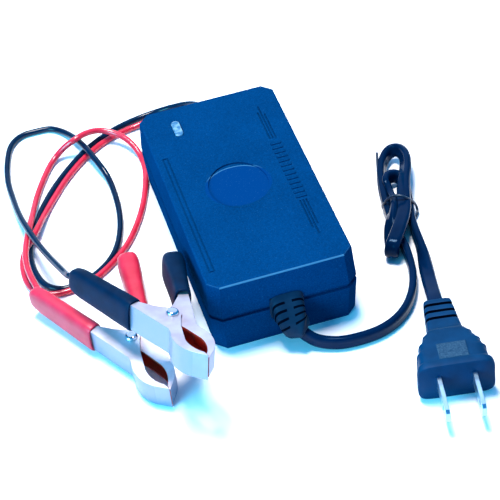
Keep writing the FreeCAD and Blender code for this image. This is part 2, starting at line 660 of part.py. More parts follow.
def jaw_edges(inset):
    """Outer face of one half from handle end to tip, moved inward by inset, as edges."""
    start = handle_point(HANDLE_L, inset)
    waist = handle_point(0, inset) + V(inset * 0.3, 0, 0)
    step = V(JAW_STEP[0] + inset * 0.2, JAW_STEP[1] - inset, 0)
    bulge = V(JAW_BULGE[0], JAW_BULGE[1] - inset, 0)
    nose = V(JAW_NOSE[0] - inset * 0.55, JAW_NOSE[1] - inset * 0.85, 0)
    tip = V(JAW_TIP_U - inset * 1.3, JAW_GAP, 0)
    return [Part.LineSegment(start, waist).toShape(), Part.LineSegment(waist, step).toShape(),
            Part.Arc(step, bulge, nose).toShape(), Part.LineSegment(nose, tip).toShape()], start, tip


def web_face():
    outer, o_start, o_tip = jaw_edges(0)
    inner, i_start, i_tip = jaw_edges(STEEL_T)
    closing = [Part.LineSegment(o_tip, i_tip).toShape(), Part.LineSegment(i_start, o_start).toShape()]
    return Part.Face(Part.Wire(Part.__sortEdges__(outer + inner + closing)))


def flange_face():
    """Flat cheek of one half: handle strip, ear round the rivet and jaw strip."""
    outer, start, tip = jaw_edges(0)
    mouth_tip = V(26.6, JAW_GAP + 0.35, 0)
    mouth_top = V(21.5, 2.9, 0)
    mouth_back = V(17.0, 3.1, 0)
    ear_front = V(2.6, -2.1, 0)
    ear_low = V(0.0, -3.3, 0)
    ear_back = V(-3.1, -1.3, 0)
    strip_in = handle_point(SLEEVE_FRONT - 0.6, HANDLE_DEPTH)
    strip_end = handle_point(HANDLE_L, HANDLE_DEPTH)
    arm = V(-6.6, 3.3, 0)
    inner = [Part.LineSegment(tip, mouth_tip).toShape(),
             Part.Arc(mouth_tip, mouth_top, mouth_back).toShape(),
             Part.LineSegment(mouth_back, V(8.6, 0.7, 0)).toShape(),
             Part.LineSegment(V(8.6, 0.7, 0), ear_front).toShape(),
             Part.Arc(ear_front, ear_low, ear_back).toShape(),
             Part.LineSegment(ear_back, arm).toShape(),
             Part.LineSegment(arm, strip_in).toShape(),
             Part.LineSegment(strip_in, strip_end).toShape(),
             Part.LineSegment(strip_end, start).toShape()]
    return Part.Face(Part.Wire(Part.__sortEdges__(outer + inner)))


def jaw_half(low, high, hole_d):
    """U channel of one clip half, between w = low and w = high, on the +v side."""
    web = web_face().extrude(V(0, 0, high - low))
    web.translate(V(0, 0, low))
    cheek = flange_face().extrude(V(0, 0, STEEL_T))
    under, over = cheek.copy(), cheek.copy()
    under.translate(V(0, 0, low))
    over.translate(V(0, 0, high - STEEL_T))
    half = web.fuse(under).fuse(over)
    half = half.cut(rod(hole_d, high - low + 2, 0, 0, low - 1))
    return half.removeSplitter()


def mirror_v(shape):
    return shape.mirror(V(0, 0, 0), V(0, 1, 0))


INNER_LOW = STEEL_T + NEST_GAP
INNER_HIGH = CLIP_H - STEEL_T - NEST_GAP


def sleeve(wire_side):
    """Dipped PVC sleeve of one handle, hollow, on the +v side."""
    cavity_low = 0.0 if wire_side else INNER_LOW
    cavity_high = CLIP_H if wire_side else INNER_HIGH
    mid_depth = HANDLE_DEPTH / 2
    h = CLIP_H + 2 * SLEEVE_WALL
    w = HANDLE_DEPTH + 2 * SLEEVE_WALL + 1.0
    end_w, end_h = (w * 0.84, h * 0.62) if wire_side else (w * 0.94, h * 0.80)

    def section(back, w_, h_):
        c = handle_point(back, mid_depth)
        return oval_wire(w_, h_, V(c.x, c.y, CLIP_H / 2), HANDLE_BACK, V(0, 0, 1))

    rows = [section(SLEEVE_FRONT, w, h), section(30.0, w * 1.03, h),
            section(HANDLE_L + 0.8, w, h * 0.93), section(SLEEVE_END - 1.6, end_w, end_h),
            section(SLEEVE_END, end_w * 0.72, end_h * 0.76)]
    outer = Part.makeLoft(rows, True, True)
    play = SLEEVE_PLAY
    c0, c1 = handle_point(SLEEVE_FRONT - 3, -play), handle_point(SLEEVE_FRONT - 3, HANDLE_DEPTH + play)
    c2, c3 = handle_point(HANDLE_L + play, HANDLE_DEPTH + play), handle_point(HANDLE_L + play, -play)
    cavity = extrude([(p.x, p.y) for p in (c0, c1, c2, c3)], cavity_low - play, cavity_high + play)
    out = outer.cut(cavity)
    if wire_side:
        start = handle_point(HANDLE_L - 1, mid_depth)
        bore = Part.makeCylinder(LEAD_D / 2 + 0.1, 20, V(start.x, start.y, CLIP_H / 2), HANDLE_BACK)
        out = out.cut(bore)
    return out


def spring_solid():
    """Torsion spring round the rivet: a coil and two straight legs spread towards the handles."""
    spread = math.radians(SPRING_SPREAD)
    total = (SPRING_TURNS + 0.5) * 2 * math.pi - 2 * spread
    rise = SPRING_PITCH / (2 * math.pi)
    sides = round(12 * total / (2 * math.pi))
    step = total / sides
    reach = SPRING_R / math.cos(step / 2)

    def corner(a):
        turn = math.pi / 2 - spread - a
        return (reach * math.cos(turn), reach * math.sin(turn), CLIP_H / 2 + rise * (a - total / 2))

    points = [corner((i + 0.5) * step) for i in range(sides)]
    back, out = SPRING_LEG * math.cos(spread), SPRING_LEG * math.sin(spread)
    start = SPRING_R * math.sin(spread) - back, SPRING_R * math.cos(spread) + out
    points = [(start[0], start[1], points[0][2])] + points + [(start[0], -start[1], points[-1][2])]
    return tube("torsion spring", points, SPRING_WIRE)


def clip_placement(name):
    x, y, z, heading, pitch, roll = CLIPS[name]
    turn = FreeCAD.Rotation(V(0, 0, 1), heading)
    turn = turn.multiply(FreeCAD.Rotation(V(0, 1, 0), pitch))
    turn = turn.multiply(FreeCAD.Rotation(V(1, 0, 0), roll))
    return FreeCAD.Placement(V(x, y, z), turn)


def in_clip(name, u, v, w):
    """A point of the clip's own frame, in the object's frame."""
    p = clip_placement(name).multVec(V(u, v, w))
    return (p.x, p.y, p.z)


def make_clip(name):
    place = clip_placement(name)

    def put(node, *shapes):
        moved = []
        for shape in shapes:
            shape = shape.copy()
            shape.Placement = place.multiply(shape.Placement)
            moved.append(shape)
        save("%s_clip_%s" % (name, node), *moved)

    put("fixed_jaw", mirror_v(jaw_half(0.0, CLIP_H, RIVET_D + 0.02)))
    put("moving_jaw", jaw_half(INNER_LOW, INNER_HIGH, RIVET_D + 2 * RIVET_PLAY))
    rivet = rod(RIVET_D, CLIP_H + 0.4, 0, 0, -0.2)
    for z, up in ((-RIVET_HEAD_H - 0.1, False), (CLIP_H + 0.1, True)):
        head = rod(RIVET_HEAD_D, RIVET_HEAD_H, 0, 0, z)
        rim_z = z + RIVET_HEAD_H if up else z
        rim = [e for e in head.Edges if abs(e.BoundBox.ZMin - rim_z) < 1e-6 and e.BoundBox.ZLength < 1e-6]
        rivet = rivet.fuse(head.makeFillet(RIVET_HEAD_H * 0.8, rim))
    put("rivet", rivet)
    spring, path = spring_solid()
    print("spring gap to itself %.2f" % least_gap_to_itself(path, SPRING_WIRE, 0.6 * 2 * math.pi * SPRING_R))
    put("spring", spring)
    put("fixed_sleeve", mirror_v(sleeve(True)))
    put("moving_sleeve", sleeve(False))
    crimp_at = handle_point(HANDLE_L - CRIMP_L + 0.1, HANDLE_DEPTH / 2 + 0.4)
    crimp = Part.makeCylinder(CRIMP_D / 2, CRIMP_L, V(crimp_at.x, crimp_at.y, CLIP_H / 2), HANDLE_BACK)
    put("wire_crimp", mirror_v(crimp))


def lead_end(name):
    """Last points of a lead: into the end of its sleeve and straight on to the crimp."""
    out = []
    for back, aside in ((SLEEVE_END + 9.0, 0.9), (SLEEVE_END + 1.4, 0.0), (HANDLE_L + 0.15, 0.0)):
        p = handle_point(back, HANDLE_DEPTH / 2 + aside)
        out.append(in_clip(name, p.x, -p.y, CLIP_H / 2))
    return out


LEAD_Z = LEAD_D / 2 + 0.05
LEAD_UP = 4.9                # axis of a lead that crosses one other
LEAD_TOP = 8.4               # axis of a lead that crosses two
GROMMET_TIP_Y = CASE_L / 2 + GROMMET_L + 0.1

BLACK_LEAD = [
    (2.3, GROMMET_TIP_Y, GROMMET_Z), (2.3, 68.2, GROMMET_Z), (-0.2, 78.0, 10.0), (-6.8, 85.6, 4.4),
    (-15.4, 88.2, LEAD_Z), (-25.5, 86.6, LEAD_Z), (-36.5, 83.0, LEAD_Z), (-46.6, 77.4, LEAD_Z),
    (-55.4, 68.8, LEAD_Z), (-64.2, 57.6, LEAD_Z), (-71.4, 46.2, LEAD_Z), (-76.6, 35.6, LEAD_Z),
    (-80.0, 24.8, LEAD_Z), (-81.0, 14.0, LEAD_Z), (-79.4, 5.0, LEAD_Z), (-74.6, -0.4, LEAD_Z),
    (-67.2, -1.2, LEAD_Z), (-58.8, 2.6, LEAD_Z), (-52.0, 10.6, LEAD_Z), (-46.8, 21.5, LEAD_Z),
    (-43.4, 34.0, LEAD_Z), (-42.0, 47.4, LEAD_Z), (-42.4, 60.4, LEAD_Z), (-44.0, 71.0, LEAD_UP),
    (-47.6, 80.6, LEAD_UP), (-52.4, 89.4, LEAD_Z), (-59.4, 96.0, LEAD_Z), (-67.6, 96.4, LEAD_Z),
    (-74.6, 89.6, LEAD_Z), (-79.2, 77.6, LEAD_Z), (-81.8, 63.4, LEAD_Z), (-82.2, 49.8, LEAD_UP),
    (-80.6, 40.2, LEAD_TOP), (-77.4, 28.4, 9.4), (-75.4, 16.0, 12.4), (-74.6, 4.0, 17.6)]
RED_LEAD = [
    (-2.3, GROMMET_TIP_Y, GROMMET_Z), (-2.3, 67.4, GROMMET_Z), (-5.6, 75.4, 9.8), (-12.4, 81.2, 4.4),
    (-20.6, 83.0, LEAD_Z), (-29.8, 81.0, LEAD_Z), (-38.4, 76.4, LEAD_Z), (-46.8, 69.8, LEAD_Z),
    (-54.6, 61.4, LEAD_Z), (-62.0, 52.0, LEAD_Z), (-68.4, 42.6, LEAD_Z), (-74.4, 35.0, LEAD_UP),
    (-80.0, 28.6, LEAD_UP), (-84.2, 20.8, 2.6), (-86.6, 12.4, LEAD_Z), (-86.6, 4.0, LEAD_Z),
    (-83.0, -3.4, LEAD_Z), (-76.8, -6.8, LEAD_Z), (-69.4, -6.4, LEAD_Z), (-61.6, -3.4, LEAD_Z),
    (-53.0, 3.0, LEAD_Z),
    (-45.4, 13.0, LEAD_Z), (-38.2, 24.4, LEAD_Z), (-32.4, 37.0, LEAD_Z), (-28.2, 50.4, LEAD_Z),
    (-26.6, 63.0, LEAD_Z), (-28.4, 73.6, LEAD_UP), (-33.6, 82.6, LEAD_UP), (-41.6, 88.0, LEAD_UP + 1.2),
    (-49.6, 86.0, LEAD_TOP), (-56.4, 79.4, LEAD_UP), (-64.0, 68.6, LEAD_Z), (-71.4, 57.0, LEAD_Z),
    (-77.2, 45.6, LEAD_Z), (-80.8, 36.2, 4.0), (-83.6, 27.4, 7.4), (-85.4, 17.4, 7.2), (-87.4, 9.4, 7.8)]

# Mains cord: run over the surface, the tied hank of two loops, and the tail to the plug
CORD_Z = CORD_D / 2 + 0.05
TIED_Z = CORD_Z + 1.1        # axis of a strand where the tie passes beneath it
CORD_ROUTE = [
    (11.6, -65.7, 3.1), (19.2, -67.6, CORD_Z), (27.8, -67.9, CORD_Z), (35.6, -65.5, CORD_Z),
    (42.0, -61.0, CORD_Z), (47.2, -54.3, CORD_Z), (51.0, -46.0, CORD_Z), (53.2, -36.4, CORD_Z),
    (54.0, -27.0, CORD_Z), (53.5, -17.0, CORD_Z), (53.0, -8.6, TIED_Z), (53.3, 0.6, TIED_Z),
    (54.6, 7.6, 2.2), (57.0, 13.6, 2.2), (59.8, 18.8, 2.8), (63.2, 22.4, 4.0), (67.0, 23.6, 5.2),
    (70.2, 21.8, 6.2), (71.4, 18.0, 7.0), (70.4, 13.0, 7.5), (67.8, 7.6, 7.5), (65.0, 1.0, 7.2),
    (62.4, -5.4, 7.2), (60.0, -11.6, 7.4), (57.2, -17.4, 8.6), (53.6, -23.0, 9.2), (50.2, -28.6, 9.0),
    (47.9, -32.4, 8.9), (46.6, -34.3, 6.8), (46.5, -34.4, 3.9), (47.6, -32.4, CORD_Z),
    (48.8, -27.0, CORD_Z), (50.4, -21.6, 5.0), (52.6, -16.4, 6.6), (55.2, -11.4, 6.7),
    (57.5, -5.6, 5.0), (58.2, -0.4, 3.4), (58.6, 4.6, 4.0), (59.0, 9.2, 4.8), (61.3, 12.3, 4.8),
    (64.7, 12.4, 4.0), (67.1, 9.8, 3.1), (67.3, 4.8, 2.6), (66.5, -1.4, TIED_Z), (64.4, -8.4, TIED_Z),
    (62.7, -16.1, CORD_Z), (61.8, -23.0, CORD_Z), (60.9, -31.0, CORD_Z), (59.9, -39.2, CORD_Z),
    (58.6, -47.4, CORD_Z), (56.9, -54.6, 3.6)]
HANK_FROM, HANK_TO = 9, 45   # the hank starts and ends halfway along these runs
TIE_D = 1.0
TIE_AT = (59.6, -4.9)
TIE_ANGLE = -18.0


def cord_parts():
    """Points of the run, the hank and the tail; neighbours share a flat end."""
    tip = GLAND_AXIS[2]
    start = (GLAND_X + tip[0], -HALF_SEAM[1] + tip[1], GLAND_Z + tip[2])
    route = [start] + CORD_ROUTE + [plug_point(0, PLUG_L + 5.4, 0), plug_point(0, PLUG_L, 0)]

    def halfway(i):
        return tuple((a + b) / 2 for a, b in zip(route[i], route[i + 1]))

    first, last = halfway(HANK_FROM), halfway(HANK_TO)
    return (route[:HANK_FROM + 1] + [first], [first] + route[HANK_FROM + 1:HANK_TO + 1] + [last],
            [last] + route[HANK_TO + 1:])


def tie_point(across, along, z):
    a = math.radians(TIE_ANGLE)
    return (TIE_AT[0] + across * math.cos(a) - along * math.sin(a),
            TIE_AT[1] + across * math.sin(a) + along * math.cos(a), z)


def tie_parts():
    """The twisted wire tie: its turn round the strands, and the free end at the left."""
    turn = [(65.4, -17.2, 1.2), (66.7, -13.8, 1.0), (67.6, -10.4, 1.8),
            tie_point(9.0, -1.6, 4.4), tie_point(8.2, 0.0, 7.4), tie_point(5.8, 0.2, 9.8),
            tie_point(2.7, 0.2, 10.3), tie_point(-0.6, 0.2, 9.0), tie_point(-4.2, 0.2, 7.1),
            tie_point(-8.0, 0.2, 6.2), tie_point(-10.2, 0.2, 3.9), tie_point(-10.0, 0.2, 1.2),
            tie_point(-7.6, 0.1, 0.55), tie_point(-2.6, 0.0, 0.55), tie_point(4.6, -0.1, 0.55)]
    free = [tie_point(-10.0, 1.4, 2.6), (50.8, 4.4, 2.4), (52.1, 9.8, 2.4), (54.4, 15.6, 3.0),
            (57.2, 20.8, 4.4), (60.6, 26.2, 6.0)]
    return turn, free


def cord_list():
    """Every cord as (name, points, diameter)."""
    run, hank, tail = cord_parts()
    turn, free = tie_parts()
    return [("mains_cord_run", run, CORD_D), ("mains_cord_hank", hank, CORD_D),
            ("mains_cord_tail", tail, CORD_D), ("tie_turn", turn, TIE_D), ("tie_free", free, TIE_D),
            ("black_lead", BLACK_LEAD + lead_end("black"), LEAD_D),
            ("red_lead", RED_LEAD + lead_end("red"), LEAD_D)]


def make_cords():
    made = {}
    for name, points, d in cord_list():
        solid, path = tube(name, points, d)
        made[name] = solid
        if name in ("mains_cord_hank", "black_lead", "red_lead"):
            print("%-16s least gap to itself %.2f" % (name, least_gap_to_itself(path, d, 4 * d)))
    for name in ("mains_cord_run", "mains_cord_hank", "mains_cord_tail", "black_lead", "red_lead"):
        save(name, made[name])
    save("twist_tie", made["tie_turn"], made["tie_free"])


if __name__ == "__main__":
    make_top_cover()
    make_bottom_case()
    make_case_screws()
    make_board()
    make_components()
    make_led()
    make_gland()
    make_grommet()
    make_plug()
    for clip in CLIPS:
        make_clip(clip)
    make_cords()
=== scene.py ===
import math

import bmesh
import bpy
from mathutils import Matrix, Vector


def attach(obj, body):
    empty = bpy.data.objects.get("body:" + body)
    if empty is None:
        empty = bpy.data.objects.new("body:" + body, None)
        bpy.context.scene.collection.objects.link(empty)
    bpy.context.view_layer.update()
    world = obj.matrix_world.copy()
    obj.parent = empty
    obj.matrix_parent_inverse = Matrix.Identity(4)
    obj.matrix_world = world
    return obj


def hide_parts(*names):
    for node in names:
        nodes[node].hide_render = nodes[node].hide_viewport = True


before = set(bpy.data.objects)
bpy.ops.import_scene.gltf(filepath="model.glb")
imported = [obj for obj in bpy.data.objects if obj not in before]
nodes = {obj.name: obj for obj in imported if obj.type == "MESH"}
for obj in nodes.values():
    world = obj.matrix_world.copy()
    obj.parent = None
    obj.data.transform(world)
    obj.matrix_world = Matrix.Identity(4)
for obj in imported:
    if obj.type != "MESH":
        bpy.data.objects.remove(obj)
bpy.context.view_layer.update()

CHARGER = "charger"

# Where the charger is seen from: a long lens from above the mains end, a little to
# the left, with the slight roll of a hand-held shot.
viewpoint = Vector((-0.11495, -0.55478, 0.52328))
line_of_sight = Vector((0.14874, 0.71635, -0.68170))
lean = math.radians(-7.015)

sideways = line_of_sight.cross(Vector((0, 0, 1))).normalized()
upwards = sideways.cross(line_of_sight)
camera_right = sideways * math.cos(lean) + upwards * math.sin(lean)
camera_up = upwards * math.cos(lean) - sideways * math.sin(lean)
camera_back = -line_of_sight
camera_data = bpy.data.cameras.new("camera")
camera_data.sensor_width = 36.0
camera_data.lens = 144.13
camera_data.clip_start = 0.02
camera_data.clip_end = 20.0
camera = bpy.data.objects.new("camera", camera_data)
camera.matrix_world = Matrix((
    (camera_right.x, camera_up.x, camera_back.x, viewpoint.x),
    (camera_right.y, camera_up.y, camera_back.y, viewpoint.y),
    (camera_right.z, camera_up.z, camera_back.z, viewpoint.z),
    (0, 0, 0, 1),
))
bpy.context.scene.collection.objects.link(camera)
bpy.context.scene.camera = camera

# The white table that everything lies on, lit by three soft panels and a blue room,
# so the case and the cords throw soft bluish shadows. Helpers for meshes and finishes
# that the later sections share come first.
def new_object(name, mesh):
    """Turns a finished bmesh into an object in the scene."""
    data = bpy.data.meshes.new(name)
    mesh.to_mesh(data)
    mesh.free()
    obj = bpy.data.objects.new(name, data)
    bpy.context.scene.collection.objects.link(obj)
    return obj


def new_finish(name):
    """A fresh material with its shader and its two lists at hand."""
    material = bpy.data.materials.new(name)
    material.use_nodes = True
    tree = material.node_tree
    return material, tree.nodes, tree.links, tree.nodes["Principled BSDF"]


def coat(obj, material):
    """Gives every face of a piece the same material."""
    obj.data.materials.clear()
    obj.data.materials.append(material)


table_mesh = bmesh.new()
bmesh.ops.create_grid(table_mesh, x_segments=1, y_segments=1, size=2.5)
table = new_object("table", table_mesh)
table_white, _, _, table_shader = new_finish("table_white")
table_shader.inputs["Base Color"].default_value = (0.95, 0.92, 0.92, 1)
table_shader.inputs["Roughness"].default_value = 0.62
coat(table, table_white)

room = bpy.data.worlds.new("room")
room.use_nodes = True
room.node_tree.nodes["Background"].inputs["Color"].default_value = (0.03, 0.42, 1.0, 1)
room.node_tree.nodes["Background"].inputs["Strength"].default_value = 0.80
bpy.context.scene.world = room


def soft_panel(name, place, aim, size, power, tint):
    """A rectangular studio light at a place, turned to face a point."""
    data = bpy.data.lights.new(name, "AREA")
    data.shape = "RECTANGLE"
    data.size, data.size_y = size
    data.energy = power
    data.color = tint
    light = bpy.data.objects.new(name, data)
    light.location = place
    light.rotation_euler = (Vector(aim) - Vector(place)).to_track_quat("-Z", "Y").to_euler()
    bpy.context.scene.collection.objects.link(light)


soft_panel("panel_over", (-0.06, 0.20, 1.15), (0, 0, 0), (0.35, 0.35), 24.0, (1.0, 0.98, 0.96))
soft_panel("panel_left", (-0.72, -0.40, 0.38), (-0.02, 0, 0.02), (0.5, 0.4), 14.0, (0.12, 0.72, 1.0))
soft_panel("panel_behind", (0.20, 1.05, 0.66), (0, 0, 0), (1.2, 1.1), 3.0, (0.90, 0.90, 1.0))
bpy.context.scene.view_settings.view_transform = "Standard"

# The mains cord: two flat-laid cores in glossy blue-black vinyl, 5.5 by 3 mm. It
# leaves the strain relief on edge, runs round to the right, is folded into a tied
# hank of two loops and lies flat again where it enters the plug.
CORD_WIDE = 0.0055
CORD_THICK = 0.0030
UPRIGHT = (0, 0, 1)

# each point of the route with the way the cord's width faces there
cord_route = [
    ((0.0030, -0.0600, 0.0068), (0.3, -0.15, 1)),
    ((0.0053, -0.0626, 0.0046), (0.1, -0.10, 1)),
    ((0.0097, -0.0652, 0.0032), UPRIGHT),
    ((0.0164, -0.0679, 0.0030), UPRIGHT),
    ((0.0278, -0.0679, 0.0029), UPRIGHT),
    ((0.0356, -0.0655, 0.0029), UPRIGHT),
    ((0.0420, -0.0610, 0.0029), UPRIGHT),
    ((0.0472, -0.0543, 0.0029), UPRIGHT),
    ((0.0510, -0.0460, 0.0029), UPRIGHT),
    ((0.0532, -0.0364, 0.0029), UPRIGHT),
    ((0.0540, -0.0270, 0.0029), UPRIGHT),
    ((0.0535, -0.0170, 0.0029), UPRIGHT),
    ((0.0541, -0.0088, 0.0030), UPRIGHT),
    ((0.0554, -0.0002, 0.0032), UPRIGHT),
    ((0.0573, 0.0075, 0.0030), (-0.1, 0.0, 1)),
    ((0.0592, 0.0140, 0.0031), (-0.2, 0.1, 1)),
    ((0.0616, 0.0195, 0.0036), (-0.2, 0.2, 1)),
    ((0.0647, 0.0234, 0.0042), (-0.1, 0.3, 1)),
    ((0.0679, 0.0243, 0.0050), (0.1, 0.5, 1)),
    ((0.0701, 0.0215, 0.0060), (0.4, 0.4, 1)),
    ((0.0701, 0.0162, 0.0068), (0.7, 0.2, 1)),
    ((0.0680, 0.0099, 0.0074), (0.9, 0.0, 0.8)),
    ((0.0654, 0.0044, 0.0075), (0.9, -0.3, 0.7)),
    ((0.0631, -0.0015, 0.0074), (0.9, -0.4, 0.5)),
    ((0.0611, -0.0073, 0.0072), (0.9, -0.4, 0.3)),
    ((0.0598, -0.0117, 0.0072), (0.9, -0.4, 0.1)),
    ((0.0573, -0.0171, 0.0080), (0.86, -0.5, 0.0)),
    ((0.0541, -0.0226, 0.0086), (0.86, -0.5, 0.0)),
    ((0.0510, -0.0273, 0.0086), (0.86, -0.5, 0.0)),
    ((0.0488, -0.0303, 0.0084), (0.86, -0.5, 0.0)),
    ((0.0477, -0.0312, 0.0064), (0.86, -0.5, 0.0)),
    ((0.0476, -0.0312, 0.0037), (0.86, -0.5, 0.0)),
    ((0.0486, -0.0291, 0.0019), (0.88, -0.45, 0.0)),
    ((0.0498, -0.0251, 0.0022), (0.9, -0.3, 0.2)),
    ((0.0509, -0.0207, 0.0050), (0.8, -0.3, 0.6)),
    ((0.0526, -0.0164, 0.0068), (0.6, -0.3, 0.8)),
    ((0.0552, -0.0114, 0.0067), (0.3, -0.1, 1)),
    ((0.0575, -0.0056, 0.0052), (0.1, 0.0, 1)),
    ((0.0582, -0.0004, 0.0038), UPRIGHT),
    ((0.0586, 0.0046, 0.0041), UPRIGHT),
    ((0.0586, 0.0067, 0.0048), (-0.1, 0.1, 1)),
    ((0.0606, 0.0097, 0.0048), (-0.1, 0.3, 1)),
    ((0.0638, 0.0101, 0.0042), (0.1, 0.2, 1)),
    ((0.0660, 0.0076, 0.0034), (0.2, 0.1, 1)),
    ((0.0661, 0.0033, 0.0030), UPRIGHT),
    ((0.0647, -0.0026, 0.0031), UPRIGHT),
    ((0.0629, -0.0087, 0.0031), (0.2, 0.0, 1)),
    ((0.0612, -0.0159, 0.0030), UPRIGHT),
    ((0.0602, -0.0236, 0.0030), (0.1, 0.0, 1)),
    ((0.0593, -0.0317, 0.0030), (0.3, 0.0, 1)),
    ((0.0578, -0.0396, 0.0030), (0.8, -0.1, 0.6)),
    ((0.0562, -0.0477, 0.0033), (0.97, -0.14, 0.25)),
    ((0.0547, -0.0550, 0.0051), (0.99, -0.16, 0.1)),
    ((0.0529, -0.0638, 0.0079), (0.986, -0.17, 0.0)),
    ((0.0521, -0.0692, 0.0082), (0.986, -0.17, 0.0)),
]


def spline_along(name, points, radius=0.0):
    """One smooth open cord line through the middle of a route."""
    data = bpy.data.curves.new(name, "CURVE")
    data.dimensions = "3D"
    line = data.splines.new("NURBS")
    line.points.add(len(points) - 1)
    for knot, place in zip(line.points, points):
        knot.co = (*place, 1.0)
    line.order_u = 3
    line.use_endpoint_u = True
    line.resolution_u = 8
    data.bevel_depth = radius
    data.bevel_resolution = 6
    data.use_fill_caps = True
    obj = bpy.data.objects.new(name, data)
    bpy.context.scene.collection.objects.link(obj)
    return obj


def points_of(curve):
    """The points that a bare spline draws, in order; the spline then goes."""
    drawn = bpy.data.meshes.new_from_object(curve)
    places = [v.co.copy() for v in drawn.vertices]
    bpy.data.meshes.remove(drawn)
    bpy.data.objects.remove(curve)
    return places


def swept(mesh, ring, stations):
    """Pulls a closed ring of edges through a row of stations, and closes both ends."""
    bmesh.ops.transform(mesh, matrix=stations[0], verts=mesh.verts)
    front = list(ring)
    for before, here in zip(stations[:-1], stations[1:]):
        pulled = bmesh.ops.extrude_edge_only(mesh, edges=front)["geom"]
        verts = [g for g in pulled if isinstance(g, bmesh.types.BMVert)]
        front = [g for g in pulled if isinstance(g, bmesh.types.BMEdge)]
        bmesh.ops.transform(mesh, matrix=here @ before.inverted(), verts=verts)
    bmesh.ops.holes_fill(mesh, edges=mesh.edges, sides=0)
    bmesh.ops.recalc_face_normals(mesh, faces=mesh.faces)


def station(place, wide, along, half_width, half_height):
    """Where a ring sits: x across its width, y over its height, z along the piece."""
    along = along.normalized()
    wide = (wide - along * wide.dot(along)).normalized()
    high = along.cross(wide)
    return Matrix((
        (wide.x * half_width, high.x * half_height, along.x, place.x),
        (wide.y * half_width, high.y * half_height, along.y, place.y),
        (wide.z * half_width, high.z * half_height, along.z, place.z),
        (0, 0, 0, 1),
    ))


def shade_smooth(obj, angle=None):
    """Smooth shading, with edges sharper than the angle kept crisp."""
    obj.data.shade_smooth()
    if angle is not None:
        obj.data.set_sharp_from_angle(angle=math.radians(angle))


middle_line = points_of(spline_along("cord_middle", [place for place, width in cord_route]))
edge_line = points_of(spline_along("cord_edge", [
    Vector(place) + Vector(width).normalized() * 0.5 * CORD_WIDE for place, width in cord_route]))
cord_mesh = bmesh.new()
cord_ring = bmesh.ops.create_circle(cord_mesh, cap_ends=False, segments=40, radius=1.0)["verts"]
for v in cord_ring:
    across, over = v.co.x, v.co.y
    v.co.x = math.copysign(abs(across) ** 0.58, across)
    v.co.y = math.copysign(abs(over) ** 0.66, over) * (1.0 - 0.15 * math.exp(-((v.co.x / 0.15) ** 2)))
cord_stations = []
last = len(middle_line) - 1
for i, place in enumerate(middle_line):
    along = middle_line[min(i + 1, last)] - middle_line[max(i - 1, 0)]
    cord_stations.append(station(place, edge_line[i] - place, along, CORD_WIDE / 2, CORD_THICK / 2))
swept(cord_mesh, cord_mesh.edges[:], cord_stations)
mains_cord = new_object("mains_cord", cord_mesh)
shade_smooth(mains_cord)

cord_vinyl, cord_nodes, cord_links, cord_shader = new_finish("cord_vinyl")
cord_place = cord_nodes.new("ShaderNodeTexCoord")
cord_mottle = cord_nodes.new("ShaderNodeTexNoise")
cord_mottle.inputs["Scale"].default_value = 260.0
cord_mottle.inputs["Detail"].default_value = 3.0
cord_tint = cord_nodes.new("ShaderNodeValToRGB")
cord_tint.color_ramp.elements[0].color = (0.0002, 0.006, 0.024, 1)
cord_tint.color_ramp.elements[1].color = (0.0004, 0.012, 0.044, 1)
cord_scuff = cord_nodes.new("ShaderNodeTexNoise")
cord_scuff.inputs["Scale"].default_value = 900.0
cord_scuff.inputs["Detail"].default_value = 4.0
cord_shine = cord_nodes.new("ShaderNodeMapRange")
cord_shine.inputs["To Min"].default_value = 0.10
cord_shine.inputs["To Max"].default_value = 0.18
cord_dents = cord_nodes.new("ShaderNodeBump")
cord_dents.inputs["Strength"].default_value = 0.04
cord_dents.inputs["Distance"].default_value = 0.0002
cord_links.new(cord_place.outputs["Object"], cord_mottle.inputs["Vector"])
cord_links.new(cord_place.outputs["Object"], cord_scuff.inputs["Vector"])
cord_links.new(cord_mottle.outputs["Fac"], cord_tint.inputs["Fac"])
cord_links.new(cord_tint.outputs["Color"], cord_shader.inputs["Base Color"])
cord_links.new(cord_scuff.outputs["Fac"], cord_shine.inputs["Value"])
cord_links.new(cord_shine.outputs["Result"], cord_shader.inputs["Roughness"])
cord_links.new(cord_mottle.outputs["Fac"], cord_dents.inputs["Height"])
cord_links.new(cord_dents.outputs["Normal"], cord_shader.inputs["Normal"])
cord_shader.inputs["Specular IOR Level"].default_value = 0.09
cord_shader.inputs["Specular Tint"].default_value = (0.35, 0.65, 1.0, 1)
coat(mains_cord, cord_vinyl)
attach(mains_cord, CHARGER)
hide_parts("mains_cord_run", "mains_cord_hank", "mains_cord_tail")

# The twist tie: a short length of thin black coated wire passed once round the
# strands of the hank, its two ends left free at the right and at the upper left.
tie_turn_points = [
    (0.0628, -0.0137, 0.0009), (0.0650, -0.0113, 0.0009), (0.0660, -0.0091, 0.0016),
    (0.0657, -0.0080, 0.0034), (0.0642, -0.0087, 0.0064), (0.0617, -0.0096, 0.0096),
    (0.0597, -0.0085, 0.0105), (0.0577, -0.0072, 0.0102), (0.0558, -0.0062, 0.0088),
    (0.0540, -0.0058, 0.0068), (0.0531, -0.0045, 0.0040), (0.0540, -0.0031, 0.0012),
    (0.0555, -0.0080, 0.0006), (0.0590, -0.0098, 0.0006), (0.0622, -0.0112, 0.0006),
]
tie_free_points = [
    (0.0541, -0.0045, 0.0026), (0.0541, -0.0006, 0.0040), (0.0555, 0.0063, 0.0046),
    (0.0577, 0.0135, 0.0048), (0.0595, 0.0193, 0.0052), (0.0609, 0.0237, 0.0060),
]
tie_turn = spline_along("tie_turn", tie_turn_points, 0.0005)
tie_free = spline_along("tie_free", tie_free_points, 0.0005)
tie_coating, tie_nodes, tie_links, tie_shader = new_finish("tie_coating")
tie_place = tie_nodes.new("ShaderNodeTexCoord")
tie_specks = tie_nodes.new("ShaderNodeTexNoise")
